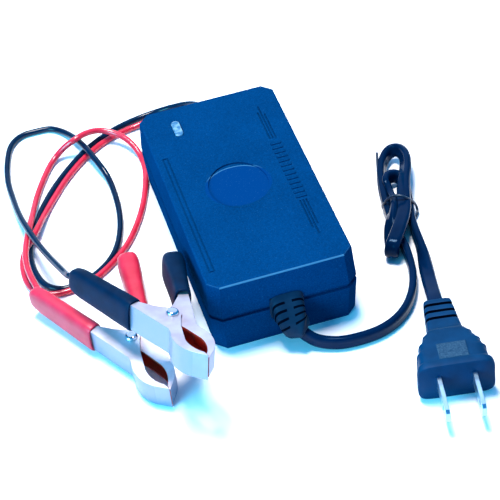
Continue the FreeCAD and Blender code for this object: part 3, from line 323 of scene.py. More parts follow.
tie_specks.inputs["Scale"].default_value = 700.0
tie_tint = tie_nodes.new("ShaderNodeValToRGB")
tie_tint.color_ramp.elements[0].color = (0.002, 0.008, 0.022, 1)
tie_tint.color_ramp.elements[1].color = (0.005, 0.020, 0.050, 1)
tie_links.new(tie_place.outputs["Object"], tie_specks.inputs["Vector"])
tie_links.new(tie_specks.outputs["Fac"], tie_tint.inputs["Fac"])
tie_links.new(tie_tint.outputs["Color"], tie_shader.inputs["Base Color"])
tie_shader.inputs["Roughness"].default_value = 0.34
for piece in (tie_turn, tie_free):
    coat(piece, tie_coating)
    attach(piece, CHARGER)
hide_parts("twist_tie")

# The black and the red lead: round 2.5 mm wire in limp glossy vinyl, out of the
# grommet at the far end, looped over the table and up into the clips' handles.
LEAD_D = 0.0025
black_route = [
    (0.0023, 0.0609, 0.0146), (0.0023, 0.0682, 0.0146), (-0.0002, 0.0780, 0.0100),
    (-0.0068, 0.0856, 0.0044), (-0.0170, 0.0886, 0.0013), (-0.0291, 0.0861, 0.0013),
    (-0.0397, 0.0812, 0.0013), (-0.0480, 0.0754, 0.0013), (-0.0567, 0.0669, 0.0013),
    (-0.0642, 0.0582, 0.0013), (-0.0705, 0.0491, 0.0013), (-0.0756, 0.0398, 0.0013),
    (-0.0796, 0.0303, 0.0013), (-0.0819, 0.0215, 0.0013), (-0.0818, 0.0125, 0.0013),
    (-0.0797, 0.0040, 0.0013), (-0.0747, -0.0003, 0.0013), (-0.0685, -0.0005, 0.0013),
    (-0.0613, 0.0019, 0.0013), (-0.0546, 0.0066, 0.0013), (-0.0496, 0.0127, 0.0013),
    (-0.0459, 0.0210, 0.0013), (-0.0434, 0.0305, 0.0013), (-0.0421, 0.0414, 0.0013),
    (-0.0420, 0.0543, 0.0018), (-0.0438, 0.0602, 0.0046), (-0.0478, 0.0769, 0.0049),
    (-0.0514, 0.0889, 0.0018), (-0.0569, 0.0956, 0.0013), (-0.0629, 0.0960, 0.0013),
    (-0.0702, 0.0960, 0.0013), (-0.0757, 0.0910, 0.0013), (-0.0790, 0.0808, 0.0013),
    (-0.0812, 0.0691, 0.0013), (-0.0812, 0.0565, 0.0026), (-0.0811, 0.0411, 0.0064),
    (-0.0799, 0.0293, 0.0092), (-0.0782, 0.0180, 0.0110), (-0.0761, 0.0061, 0.0142),
    (-0.0740, -0.0059, 0.0186), (-0.0720, -0.0166, 0.0224), (-0.0718, -0.0187, 0.0247),
    (-0.0674, -0.0268, 0.0254),
]
red_route = [
    (-0.0023, 0.0609, 0.0146), (-0.0023, 0.0674, 0.0146), (-0.0056, 0.0754, 0.0098),
    (-0.0130, 0.0816, 0.0044), (-0.0225, 0.0834, 0.0013), (-0.0322, 0.0812, 0.0013),
    (-0.0410, 0.0773, 0.0013), (-0.0501, 0.0702, 0.0013), (-0.0583, 0.0616, 0.0013),
    (-0.0650, 0.0527, 0.0013), (-0.0713, 0.0432, 0.0018), (-0.0752, 0.0342, 0.0044),
    (-0.0790, 0.0286, 0.0044), (-0.0826, 0.0254, 0.0024), (-0.0851, 0.0204, 0.0013),
    (-0.0860, 0.0141, 0.0013), (-0.0857, 0.0070, 0.0013), (-0.0834, 0.0014, 0.0013),
    (-0.0789, -0.0016, 0.0013), (-0.0740, -0.0024, 0.0013), (-0.0680, -0.0018, 0.0013),
    (-0.0617, 0.0000, 0.0013), (-0.0554, 0.0040, 0.0013), (-0.0489, 0.0097, 0.0013),
    (-0.0431, 0.0162, 0.0013), (-0.0380, 0.0245, 0.0013), (-0.0333, 0.0340, 0.0013),
    (-0.0297, 0.0440, 0.0013), (-0.0270, 0.0540, 0.0013), (-0.0265, 0.0621, 0.0016),
    (-0.0280, 0.0686, 0.0036), (-0.0308, 0.0739, 0.0049), (-0.0347, 0.0783, 0.0054),
    (-0.0399, 0.0806, 0.0064), (-0.0456, 0.0790, 0.0078), (-0.0504, 0.0761, 0.0082),
    (-0.0549, 0.0768, 0.0054), (-0.0593, 0.0759, 0.0022), (-0.0628, 0.0724, 0.0013),
    (-0.0670, 0.0652, 0.0013), (-0.0711, 0.0571, 0.0013), (-0.0739, 0.0500, 0.0018),
    (-0.0762, 0.0417, 0.0042), (-0.0787, 0.0333, 0.0064), (-0.0811, 0.0260, 0.0072),
    (-0.0831, 0.0195, 0.0072), (-0.0842, 0.0131, 0.0074), (-0.0843, 0.0068, 0.0078),
    (-0.0838, 0.0003, 0.0082), (-0.0818, -0.0125, 0.0081),
]


def glossy_vinyl(name, deep, bright, gloss_low, gloss_high, sink=0.0, shine=0.5):
    """Smooth extruded or dipped vinyl with faint clouding and tiny surface waves."""
    material, parts, links, shader = new_finish(name)
    place = parts.new("ShaderNodeTexCoord")
    clouds = parts.new("ShaderNodeTexNoise")
    clouds.inputs["Scale"].default_value = 180.0
    clouds.inputs["Detail"].default_value = 2.0
    tint = parts.new("ShaderNodeValToRGB")
    tint.color_ramp.elements[0].position = 0.3
    tint.color_ramp.elements[0].color = (*deep, 1)
    tint.color_ramp.elements[1].position = 0.7
    tint.color_ramp.elements[1].color = (*bright, 1)
    fine = parts.new("ShaderNodeTexNoise")
    fine.inputs["Scale"].default_value = 1400.0
    gloss = parts.new("ShaderNodeMapRange")
    gloss.inputs["To Min"].default_value = gloss_low
    gloss.inputs["To Max"].default_value = gloss_high
    waves = parts.new("ShaderNodeBump")
    waves.inputs["Strength"].default_value = 0.10
    waves.inputs["Distance"].default_value = 0.0002
    links.new(place.outputs["Object"], clouds.inputs["Vector"])
    links.new(place.outputs["Object"], fine.inputs["Vector"])
    links.new(clouds.outputs["Fac"], tint.inputs["Fac"])
    links.new(tint.outputs["Color"], shader.inputs["Base Color"])
    links.new(fine.outputs["Fac"], gloss.inputs["Value"])
    links.new(gloss.outputs["Result"], shader.inputs["Roughness"])
    links.new(clouds.outputs["Fac"], waves.inputs["Height"])
    links.new(waves.outputs["Normal"], shader.inputs["Normal"])
    shader.inputs["Specular IOR Level"].default_value = shine
    if sink:
        shader.inputs["Subsurface Weight"].default_value = sink
        shader.inputs["Subsurface Radius"].default_value = (0.003, 0.0008, 0.0006)
    return material


black_vinyl = glossy_vinyl("black_vinyl", (0.0003, 0.007, 0.024), (0.0006, 0.012, 0.036),
                           0.12, 0.20, 0.0, 0.22)
red_vinyl = glossy_vinyl("red_vinyl", (0.52, 0.010, 0.028), (0.64, 0.018, 0.045), 0.16, 0.26, 0.04, 0.60)
black_lead = spline_along("lead_black", black_route, LEAD_D / 2)
coat(black_lead, black_vinyl)
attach(black_lead, CHARGER)
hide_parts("black_lead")
red_lead = spline_along("lead_red", red_route, LEAD_D / 2)
coat(red_lead, red_vinyl)
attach(red_lead, CHARGER)
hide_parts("red_lead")

# The moulded case: two shells in deep blue plastic with a fine spark-eroded grain,
# closed on a shadow groove, with a lens over the status light.
case_blue, case_nodes, case_links, case_shader = new_finish("case_blue")
case_place = case_nodes.new("ShaderNodeTexCoord")
case_grain = case_nodes.new("ShaderNodeTexNoise")
case_grain.inputs["Scale"].default_value = 1900.0
case_grain.inputs["Detail"].default_value = 4.0
case_grain.inputs["Roughness"].default_value = 0.6
case_clouds = case_nodes.new("ShaderNodeTexNoise")
case_clouds.inputs["Scale"].default_value = 45.0
case_clouds.inputs["Detail"].default_value = 2.0
case_mix = case_nodes.new("ShaderNodeMix")
case_mix.data_type = "FLOAT"
case_mix.inputs["Factor"].default_value = 0.25
case_tint = case_nodes.new("ShaderNodeValToRGB")
case_tint.color_ramp.elements[0].position = 0.35
case_tint.color_ramp.elements[0].color = (0.0002, 0.023, 0.078, 1)
case_tint.color_ramp.elements[1].position = 0.68
case_tint.color_ramp.elements[1].color = (0.0005, 0.039, 0.130, 1)
case_dull = case_nodes.new("ShaderNodeMapRange")
case_dull.inputs["To Min"].default_value = 0.42
case_dull.inputs["To Max"].default_value = 0.60
case_soft = case_nodes.new("ShaderNodeBevel")
case_soft.samples = 4
case_soft.inputs["Radius"].default_value = 0.00035
case_bump = case_nodes.new("ShaderNodeBump")
case_bump.inputs["Strength"].default_value = 0.35
case_bump.inputs["Distance"].default_value = 0.0001
case_links.new(case_place.outputs["Object"], case_grain.inputs["Vector"])
case_links.new(case_place.outputs["Object"], case_clouds.inputs["Vector"])
case_links.new(case_grain.outputs["Fac"], case_mix.inputs[2])
case_links.new(case_clouds.outputs["Fac"], case_mix.inputs[3])
case_links.new(case_mix.outputs[0], case_tint.inputs["Fac"])
# Painted glints: the brightest specks of a fine noise are lightened in the base colour as painted highlights
# on the grain.
painted_glint_specks = case_nodes.new("ShaderNodeTexNoise")
painted_glint_specks.inputs["Scale"].default_value = 2300.0
painted_glint_specks.inputs["Detail"].default_value = 1.0
painted_glint = case_nodes.new("ShaderNodeMapRange")
painted_glint.inputs["From Min"].default_value = 0.66
painted_glint.inputs["From Max"].default_value = 0.82
painted_glint.inputs["To Max"].default_value = 0.40
case_face = case_nodes.new("ShaderNodeNewGeometry")
case_turn = case_nodes.new("ShaderNodeVectorMath")
case_turn.operation = "DOT_PRODUCT"
groove_shade_edge = case_nodes.new("ShaderNodeMapRange")
groove_shade_edge.inputs["From Min"].default_value = 0.985
groove_shade_edge.inputs["From Max"].default_value = 0.90
case_links.new(case_place.outputs["Object"], painted_glint_specks.inputs["Vector"])
case_links.new(painted_glint_specks.outputs["Fac"], painted_glint.inputs["Value"])
case_links.new(case_soft.outputs["Normal"], case_turn.inputs[0])
case_links.new(case_face.outputs["Normal"], case_turn.inputs[1])
case_links.new(case_turn.outputs["Value"], groove_shade_edge.inputs["Value"])


def case_figured(kind, *values):
    """One sum on numbers or sockets of the case's finish."""
    node = case_nodes.new("ShaderNodeMath")
    node.operation = kind
    node.use_clamp = True
    for socket, value in zip(node.inputs, values):
        if isinstance(value, float):
            socket.default_value = value
        else:
            case_links.new(value, socket)
    return node.outputs[0]


def case_between(value, low, high):
    """0 below low and 1 above high, or the other way round."""
    node = case_nodes.new("ShaderNodeMapRange")
    node.inputs["From Min"].default_value = low
    node.inputs["From Max"].default_value = high
    case_links.new(value, node.inputs["Value"])
    return node.outputs["Result"]


def case_laid_over(factor, under, colour):
    """The finish so far with a colour laid over part of it."""
    node = case_nodes.new("ShaderNodeMix")
    node.data_type = "RGBA"
    node.inputs[7].default_value = colour
    case_links.new(factor, node.inputs["Factor"])
    case_links.new(under, node.inputs[6])
    return node.outputs[2]


BADGE_LEFT = 0.0013
BADGE_NEAR = 0.0014
BADGE_HALF_WIDE = 0.01295
BADGE_HALF_LONG = 0.0113
FRONT_EDGE_STARTS = -0.0470
FRONT_EDGE_FULL = -0.0490

# the bare badge dish, as an oval of length 1 from its middle
case_split = case_nodes.new("ShaderNodeSeparateXYZ")
case_links.new(case_place.outputs["Object"], case_split.inputs["Vector"])
badge_oval = case_nodes.new("ShaderNodeMapping")
badge_oval.inputs["Location"].default_value = (BADGE_LEFT / BADGE_HALF_WIDE, BADGE_NEAR / BADGE_HALF_LONG, 0)
badge_oval.inputs["Scale"].default_value = (1 / BADGE_HALF_WIDE, 1 / BADGE_HALF_LONG, 0)
badge_reach = case_nodes.new("ShaderNodeVectorMath")
badge_reach.operation = "LENGTH"
case_links.new(case_place.outputs["Object"], badge_oval.inputs["Vector"])
case_links.new(badge_oval.outputs["Vector"], badge_reach.inputs[0])
upper_face = case_between(case_split.outputs["Z"], 0.0285, 0.0292)
badge_dish = case_figured("MULTIPLY", case_between(badge_reach.outputs["Value"], 1.0, 0.965), upper_face)
# Painted highlight: the far side of the badge dish's rim is lightened in the base colour as a lit edge.
painted_rim_highlight = case_figured("MULTIPLY", case_between(badge_reach.outputs["Value"], 0.965, 0.985),
                         case_between(badge_reach.outputs["Value"], 1.015, 1.0))
painted_rim_highlight = case_figured("MULTIPLY", painted_rim_highlight, case_between(case_split.outputs["Y"], 0.0040, 0.0085))
# Painted highlight: a thin lit line along the rounded front top edge, on faces that turn toward the light,
# is lightened in the base colour.
case_slope = case_nodes.new("ShaderNodeVectorMath")
case_slope.operation = "DOT_PRODUCT"
case_slope.inputs[1].default_value = (0, -0.70, 0.71)
case_links.new(case_face.outputs["Normal"], case_slope.inputs[0])
painted_edge_highlight = case_figured("MULTIPLY", case_between(case_slope.outputs["Value"], 0.84, 0.93),
                          case_between(case_split.outputs["Y"], FRONT_EDGE_STARTS, FRONT_EDGE_FULL))
painted_edge_highlight = case_figured("MULTIPLY", painted_edge_highlight, upper_face)

# painted shade: the edges of the engraved lines are darkened in the base colour, darkest away from the badge
# and toward the right
groove_shade_part = case_figured("MULTIPLY", case_between(badge_reach.outputs["Value"], 1.04, 1.10),
                          case_between(case_split.outputs["X"], -0.030, -0.010))
groove = case_figured("SUBTRACT", case_figured("MULTIPLY", groove_shade_edge.outputs["Result"], groove_shade_part),
                      painted_edge_highlight)
painted_case_highlights = case_figured("MAXIMUM", painted_edge_highlight, case_figured("MAXIMUM", painted_glint.outputs["Result"],
                                                            case_figured("MULTIPLY", painted_rim_highlight, upper_face)))
case_colour = case_laid_over(badge_dish, case_tint.outputs["Color"], (0.0003, 0.029, 0.118, 1))
case_colour = case_laid_over(case_figured("MULTIPLY", groove, 0.7), case_colour, (0.0001, 0.008, 0.034, 1))
# The painted highlights of the edge, the glints and the rim go over everything in a paler blue.
case_colour = case_laid_over(case_figured("MULTIPLY", painted_case_highlights, 0.6), case_colour, (0.060, 0.200, 0.330, 1))
case_links.new(case_colour, case_shader.inputs["Base Color"])
case_links.new(case_clouds.outputs["Fac"], case_dull.inputs["Value"])
case_links.new(case_dull.outputs["Result"], case_shader.inputs["Roughness"])
case_links.new(case_grain.outputs["Fac"], case_bump.inputs["Height"])
case_links.new(case_soft.outputs["Normal"], case_bump.inputs["Normal"])
case_links.new(case_bump.outputs["Normal"], case_shader.inputs["Normal"])
case_shader.inputs["Specular IOR Level"].default_value = 0.0
for name in ("top_cover", "bottom_case"):
    coat(nodes[name], case_blue)

# The strain relief of the mains cord: one rubbery vinyl moulding with four slots each
# side of a plain spine, and a smooth tip that bends down and lets the cord out.
RELIEF_WIDE = 0.0124
RELIEF_HIGH = 0.0112
RELIEF_TIP_WIDE = 0.0088
RELIEF_TIP_HIGH = 0.0070
RELIEF_STRAIGHT = 0.60
RELIEF_NECK = 0.0022
RELIEF_CORNERS = 0.48
SLOT_DEEP = 0.0009
SLOT_FLOOR = 0.7
SLOT_REACH = 0.00022
SLOT_ANGLES = ((97, 262), (278, 360), (0, 83))
relief_root = Vector((0.0002, -0.0536, 0.0152))
relief_bend = relief_root + Vector((0.0, -0.0050, -0.0054))
relief_tip = Vector((0.0030, -0.0600, 0.0068))
relief_slots = (0.14, 0.27, 0.41, 0.56)
relief_slot_half = 0.031


def relief_station(t, scale):
    """A ring of the strain relief at t along its bent axis, root to tip."""
    place = relief_root * (1 - t) ** 2 + relief_bend * (2 * t * (1 - t)) + relief_tip * t ** 2
    along = (relief_bend - relief_root) * (1 - t) + (relief_tip - relief_bend) * t
    along = along.normalized().lerp(Vector((0, -1, 0)), max(0.0, 1 - t / RELIEF_STRAIGHT))
    wide = (RELIEF_WIDE * (1 - t) + RELIEF_TIP_WIDE * t) * scale / 2
    high = (RELIEF_HIGH * (1 - t) + RELIEF_TIP_HIGH * t) * scale / 2
    return station(place, Vector((1, 0, 0)) + Vector((0, -1.2, 0)) * t * t, along, wide, high)


def rounded_ring(mesh, segments, across, over):
    """A unit ring squared off by the two powers: 1 is round, 0.5 a soft rectangle."""
    ring = bmesh.ops.create_circle(mesh, cap_ends=False, segments=segments, radius=1.0)["verts"]
    for v in ring:
        v.co.x = math.copysign(abs(v.co.x) ** across, v.co.x)
        v.co.y = math.copysign(abs(v.co.y) ** over, v.co.y)
    return mesh.edges[:]


def faces_within(mesh, ring_place, behind, ahead, angles):
    """Side faces between two distances along a ring's axis and within angles round it."""
    turned = ring_place.inverted()
    found = []
    for face in mesh.faces:
        spot = turned @ face.calc_center_median()
        angle = math.degrees(math.atan2(spot.y, spot.x)) % 360
        if behind < spot.z < ahead and any(low < angle < high for low, high in angles):
            found.append(face)
    return found


def soften(mesh, offset, sharper_than):
    """Rounds every edge sharper than an angle with a small two-step bevel."""
    edges = [e for e in mesh.edges
             if len(e.link_faces) == 2 and e.calc_face_angle() > math.radians(sharper_than)]
    bmesh.ops.bevel(mesh, geom=edges, offset=offset, offset_type="OFFSET", segments=2,
                    profile=0.5, affect="EDGES", material=-1, clamp_overlap=True)


def carve_slot(mesh, ring_place, reach, angles, depth):
    """Sinks the faces round a ring into a narrow slot, its walls in the second finish, a near-black painted
    shade.
    """
    slot_faces = faces_within(mesh, ring_place, -reach, reach, angles)
    walls = bmesh.ops.inset_region(mesh, faces=slot_faces, use_boundary=True, use_even_offset=True,
                                   thickness=0.00004, depth=depth)["faces"]
    for face in slot_faces + walls:
        face.material_index = 1


def sink_slot(mesh, first, last, reach, angles, depth):
    """Pulls the middle of the band between two rings inward and gives it the second finish, a near-black
    painted shade.
    """
    for ring_place in (first, last):
        turned = ring_place.inverted()
        for v in mesh.verts:
            spot = turned @ v.co
            angle = math.degrees(math.atan2(spot.y, spot.x)) % 360
            if abs(spot.z) < 0.00002 and any(low < angle < high for low, high in angles):
                spot.xy = spot.xy * (1 - depth / spot.xy.length)
                v.co = ring_place @ spot
    middle = first.lerp(last, 0.5)
    for face in faces_within(mesh, middle, -reach, reach, angles):
        face.material_index = 1


relief_mesh = bmesh.new()
relief_ring = rounded_ring(relief_mesh, 144, RELIEF_CORNERS, RELIEF_CORNERS)
relief_rows = [(0.0, 1.05), (0.03, 1.05), (0.045, 1.0)]
for middle in relief_slots:
    for apart in (-1.0, -SLOT_FLOOR, SLOT_FLOOR, 1.0):
        relief_rows.append((middle + apart * relief_slot_half, 1.0))
relief_rows += [(0.60, 1.0), (0.74, 1.0), (0.86, 1.0), (0.93, 0.99), (0.975, 0.95), (1.0, 0.86)]
neck_station = Matrix.Translation((0, RELIEF_NECK, 0)) @ relief_station(0.0, 0.86)
swept(relief_mesh, relief_ring, [neck_station, Matrix.Translation((0, -RELIEF_NECK, 0)) @ neck_station]
      + [relief_station(t, scale) for t, scale in relief_rows])
for middle in relief_slots:
    first = relief_station(middle - SLOT_FLOOR * relief_slot_half, 1.0)
    last = relief_station(middle + SLOT_FLOOR * relief_slot_half, 1.0)
    sink_slot(relief_mesh, first, last, SLOT_REACH, SLOT_ANGLES, SLOT_DEEP)
strain_relief = new_object("strain_relief", relief_mesh)
shade_smooth(strain_relief, 40)
relief_vinyl = glossy_vinyl("relief_vinyl", (0.0010, 0.014, 0.036), (0.0022, 0.021, 0.050),
                            0.42, 0.56, 0.0, 0.06)
# Painted shade: the slots of the relief and of the plug's collar get a near-black finish for the shade
# inside them.
slot_painted_shade = glossy_vinyl("slot_painted_shade", (0.0001, 0.001, 0.004), (0.0002, 0.002, 0.007), 0.60, 0.75, 0.0, 0.0)
strain_relief.data.materials.append(relief_vinyl)
strain_relief.data.materials.append(slot_painted_shade)
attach(strain_relief, CHARGER)
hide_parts("mains_strain_relief")

# The mains plug: a solid vinyl moulding round two flat nickel-plated blades, with a
# rounded flange, finger grips on its sides, a rough panel on top and a slotted collar.
plug_yaw = math.radians(-9.7)
plug_frame = Matrix.Translation((0.0461, -0.1042, 0.0082)) @ Matrix.Rotation(plug_yaw, 4, "Z")


def plug_station(back, wide, high):
    """A ring of the plug at a distance back from the face that the blades leave."""
    return plug_frame @ station(Vector((0, back, 0)), Vector((1, 0, 0)), Vector((0, -1, 0)),
                                wide / 2, high / 2)


PLUG_CORNERS = 0.34
PLUG_SLOT_ANGLES = ((12, 168), (192, 348))
PLUG_SLOT_HALF = 0.00068
RIDGE_WIDE = 0.0012
RIDGE_REACH = 0.0010
PANEL_HALF = 0.0052
PANEL_NEAR = 0.0036
PANEL_FAR = 0.0114
plug_mesh = bmesh.new()
plug_ring = rounded_ring(plug_mesh, 96, PLUG_CORNERS, PLUG_CORNERS)
collar_slots = (0.0340, 0.0304, 0.0268)
grip_ridges = (0.0176, 0.0134, 0.0092)
# back from the face, width and height
plug_outline = [
    (0.0372, 0.0092, 0.0072), (0.0369, 0.0101, 0.0080), (0.0362, 0.0104, 0.0083), (0.0250, 0.0122, 0.0097),
    (0.0222, 0.0128, 0.0103), (0.0206, 0.0133, 0.0111), (0.0200, 0.0139, 0.0121), (0.0195, 0.0147, 0.0130),
    (0.0180, 0.0164, 0.0135), (0.0160, 0.0187, 0.0140), (0.0140, 0.0207, 0.0144), (0.0120, 0.0223, 0.0147),
    (0.0095, 0.0237, 0.0151), (0.0070, 0.0245, 0.0154), (0.0045, 0.0250, 0.0156), (0.0037, 0.0252, 0.0157),
    (0.0033, 0.0258, 0.0160), (0.0029, 0.0268, 0.0162), (0.0022, 0.0274, 0.0163), (0.0008, 0.0275, 0.0164),
    (0.0002, 0.0272, 0.0161), (0.0000, 0.0267, 0.0155),
]


def plug_row(back):
    """The plug's ring at a distance back, with the grip ridges on its sides."""
    for far, near in zip(plug_outline[:-1], plug_outline[1:]):
        if far[0] >= back >= near[0]:
            share = (far[0] - back) / (far[0] - near[0])
            wide = far[1] + (near[1] - far[1]) * share
            high = far[2] + (near[2] - far[2]) * share
    ridge = max(0.0, 1 - min(abs(back - middle) for middle in grip_ridges) / RIDGE_REACH)
    return back, wide + RIDGE_WIDE * ridge, high


plug_backs = [row[0] for row in plug_outline]
plug_backs += [middle + side * PLUG_SLOT_HALF for middle in collar_slots for side in (-1, 1)]
plug_backs += [middle + side * 0.0005 for middle in grip_ridges for side in (-2, -1, 0, 1, 2)]
swept(plug_mesh, plug_ring, [plug_station(*plug_row(back)) for back in sorted(plug_backs, reverse=True)])
for middle in collar_slots:
    carve_slot(plug_mesh, plug_station(middle, 0.010, 0.008), 0.0004, PLUG_SLOT_ANGLES, -0.0013)

# the rough panel on top, 10.4 by 7.8 mm, stands 0.2 mm proud
for spot, way in (((-PANEL_HALF, 0, 0), (1, 0, 0)), ((PANEL_HALF, 0, 0), (1, 0, 0)),
                  ((0, PANEL_NEAR, 0), (0, 1, 0)), ((0, PANEL_FAR, 0), (0, 1, 0))):
    bmesh.ops.bisect_plane(plug_mesh, geom=plug_mesh.verts[:] + plug_mesh.edges[:] + plug_mesh.faces[:],
                           dist=0.00001, plane_co=plug_frame @ Vector(spot),
                           plane_no=plug_frame.to_3x3() @ Vector(way))
plug_turned = plug_frame.inverted()
panel_faces = []
for face in plug_mesh.faces:
    face.normal_update()
    spot = plug_turned @ face.calc_center_median()
    if face.normal.z > 0.8 and abs(spot.x) < PANEL_HALF and PANEL_NEAR < spot.y < PANEL_FAR:
        panel_faces.append(face)
        face.material_index = 2
    # Painted highlight: the upward faces of the shoulder get the paler rough finish as a lit edge line.
    elif face.normal.z > 0.2 and 0.0195 < spot.y < 0.0206:
        face.material_index = 2
bmesh.ops.inset_region(plug_mesh, faces=panel_faces, use_boundary=True, use_even_offset=True,
                       thickness=0.00012, depth=0.00022)
soften(plug_mesh, 0.00016, 38)
plug_moulding = new_object("plug_moulding", plug_mesh)
shade_smooth(plug_moulding, 40)
plug_vinyl = glossy_vinyl("plug_vinyl", (0.0005, 0.023, 0.066), (0.0010, 0.032, 0.090),
                          0.42, 0.56, 0.0, 0.05)
# The paler rough finish is the panel's own texture and, on the shoulder, a painted highlight.
rough_vinyl_and_shoulder_highlight = glossy_vinyl("rough_vinyl_and_shoulder_highlight", (0.004, 0.030, 0.070), (0.026, 0.070, 0.120),
                           0.55, 0.70, 0.0, 0.10)
rough_vinyl_and_shoulder_highlight.node_tree.nodes["Noise Texture"].inputs["Scale"].default_value = 1700.0
rough_vinyl_and_shoulder_highlight.node_tree.nodes["Bump"].inputs["Strength"].default_value = 0.80
for finish in (plug_vinyl, slot_painted_shade, rough_vinyl_and_shoulder_highlight):
    plug_moulding.data.materials.append(finish)
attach(plug_moulding, CHARGER)
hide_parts("plug_body")


def plated(name, dark, light, rough_low, rough_high, stretch=(1, 1, 1), bump=0.1):
    """Bright metal with faint drawn lines, clouded tone and uneven gloss."""
    material, parts, links, shader = new_finish(name)
    place = parts.new("ShaderNodeTexCoord")
    drawn = parts.new("ShaderNodeMapping")
    drawn.inputs["Scale"].default_value = stretch
    lines = parts.new("ShaderNodeTexNoise")
    lines.inputs["Scale"].default_value = 900.0
    lines.inputs["Detail"].default_value = 4.0
    clouds = parts.new("ShaderNodeTexNoise")
    clouds.inputs["Scale"].default_value = 120.0
    clouds.inputs["Detail"].default_value = 3.0
    tint = parts.new("ShaderNodeValToRGB")
    tint.color_ramp.elements[0].position = 0.35
    tint.color_ramp.elements[0].color = (*dark, 1)
    tint.color_ramp.elements[1].position = 0.65
    tint.color_ramp.elements[1].color = (*light, 1)
    gloss = parts.new("ShaderNodeMapRange")
    gloss.inputs["To Min"].default_value = rough_low
    gloss.inputs["To Max"].default_value = rough_high
    relief = parts.new("ShaderNodeBump")
    relief.inputs["Strength"].default_value = bump
    relief.inputs["Distance"].default_value = 0.00005
    rounded = parts.new("ShaderNodeBevel")
    rounded.samples = 4
    rounded.inputs["Radius"].default_value = 0.00025
    shader.inputs["Metallic"].default_value = 1.0
    links.new(place.outputs["Object"], drawn.inputs["Vector"])
    links.new(drawn.outputs["Vector"], lines.inputs["Vector"])
    links.new(place.outputs["Object"], clouds.inputs["Vector"])
    links.new(clouds.outputs["Fac"], tint.inputs["Fac"])
    links.new(tint.outputs["Color"], shader.inputs["Base Color"])
    links.new(lines.outputs["Fac"], gloss.inputs["Value"])
    links.new(gloss.outputs["Result"], shader.inputs["Roughness"])
    links.new(lines.outputs["Fac"], relief.inputs["Height"])
    links.new(rounded.outputs["Normal"], relief.inputs["Normal"])
    links.new(relief.outputs["Normal"], shader.inputs["Normal"])
    return material


blade_nickel = plated("blade_nickel", (0.34, 0.52, 0.66), (0.50, 0.70, 0.84), 0.26, 0.34, bump=0.02)
coat(nodes["plug_blades"], blade_nickel)

# The battery clips: each of two channels of plated sheet steel, copper-coloured
# inside, riveted together and sprung shut, with dipped vinyl sleeves on the handles.
HANDLE_TILT = math.radians(17.1)
waist = Vector((0.0084, 0.0054, 0.0051))
handle_back = Vector((-math.cos(HANDLE_TILT), math.sin(HANDLE_TILT), 0))
handle_in = Vector((-handle_back.y, handle_back.x, 0))


def turned_to(heading, pitch, roll, place):
    """Where a clip lies: its own frame runs along to the jaw tip, across and up the rivet."""
    turn = (Matrix.Rotation(math.radians(heading), 4, "Z") @ Matrix.Rotation(math.radians(pitch), 4, "Y")
            @ Matrix.Rotation(math.radians(roll), 4, "X"))
    return Matrix.Translation(place) @ turn


clip_frames = {
    "red": turned_to(-76.8, 2.9, 2.1, (-0.0562, -0.0445, 0.00175)),
    "black": turned_to(-78.4, -8.0, -12.0, (-0.0441, -0.0609, 0.0220)),
}


def clip_steel(colour, side, clip_frame):
    """Plated sheet steel with a painted reflection, darker and bluer, on its outer web, whose inner faces
    keep their copper colour.
    """
    material = plated(colour + "_clip_steel_" + side, (0.44, 0.37, 0.42), (0.56, 0.52, 0.62), 0.30, 0.46)
    parts, links = material.node_tree.nodes, material.node_tree.links
    shader = parts["Principled BSDF"]
    tint = parts["Color Ramp"]
    place = parts.new("ShaderNodeTexCoord")
    across = clip_frame.to_3x3() @ Vector((0, 1, 0))
    over = clip_frame.to_3x3() @ Vector((0, 0, 1))

    def dotted(output, way):
        node = parts.new("ShaderNodeVectorMath")
        node.operation = "DOT_PRODUCT"
        node.inputs[1].default_value = way
        links.new(place.outputs[output], node.inputs[0])
        return node.outputs["Value"]

    def mapped(value, low, high):
        node = parts.new("ShaderNodeMapRange")
        node.inputs["From Min"].default_value = low
        node.inputs["From Max"].default_value = high
        links.new(value, node.inputs["Value"])
        return node.outputs["Result"]

    def figured(kind, first, second):
        node = parts.new("ShaderNodeMath")
        node.operation = kind
        for socket, value in zip(node.inputs, (first, second)):
            if isinstance(value, float):
                socket.default_value = value
            else:
                links.new(value, socket)
        return node.outputs[0]

    def blended(factor, first, colour_over):
        node = parts.new("ShaderNodeMix")
        node.data_type = "RGBA"
        node.inputs[7].default_value = colour_over
        links.new(factor, node.inputs["Factor"])
        links.new(first, node.inputs[6])
        return node.outputs[2]

    inward = dotted("Normal", across if side == "fixed" else -across)
    middle = (clip_frame @ Vector((0, 0, waist.z))).dot(over)
    under = figured("MULTIPLY", figured("SUBTRACT", middle, dotted("Object", over)), dotted("Normal", over))
    inside = figured("MAXIMUM", mapped(inward, 0.45, 0.75), mapped(under, 0.0022, 0.0030))
    # Painted reflection: the outer faces of the web are tinted darker and bluer in the base colour.
    painted_web_reflection = blended(mapped(inward, -0.40, -0.80), tint.outputs["Color"], (0.27, 0.26, 0.38, 1))
    links.new(blended(inside, painted_web_reflection, (0.66, 0.080, 0.038, 1)), shader.inputs["Base Color"])
    shader.inputs["Metallic"].default_value = 0.45
    return material


rivet_bright = plated("rivet_bright", (0.66, 0.64, 0.70), (0.88, 0.86, 0.90), 0.10, 0.20)
spring_wire = plated("spring_wire", (0.40, 0.42, 0.48), (0.62, 0.64, 0.70), 0.20, 0.34)
sleeve_red = glossy_vinyl("sleeve_red", (0.52, 0.014, 0.040), (0.62, 0.026, 0.062), 0.30, 0.42, 0.05, 0.28)
sleeve_black = glossy_vinyl("sleeve_black", (0.0002, 0.008, 0.026), (0.0004, 0.013, 0.040),
                            0.38, 0.50, 0.0, 0.05)

SLEEVE_SHIFT = 0.0019
SLEEVE_WALL = 0.0007
SLEEVE_HOLLOW = 0.0272
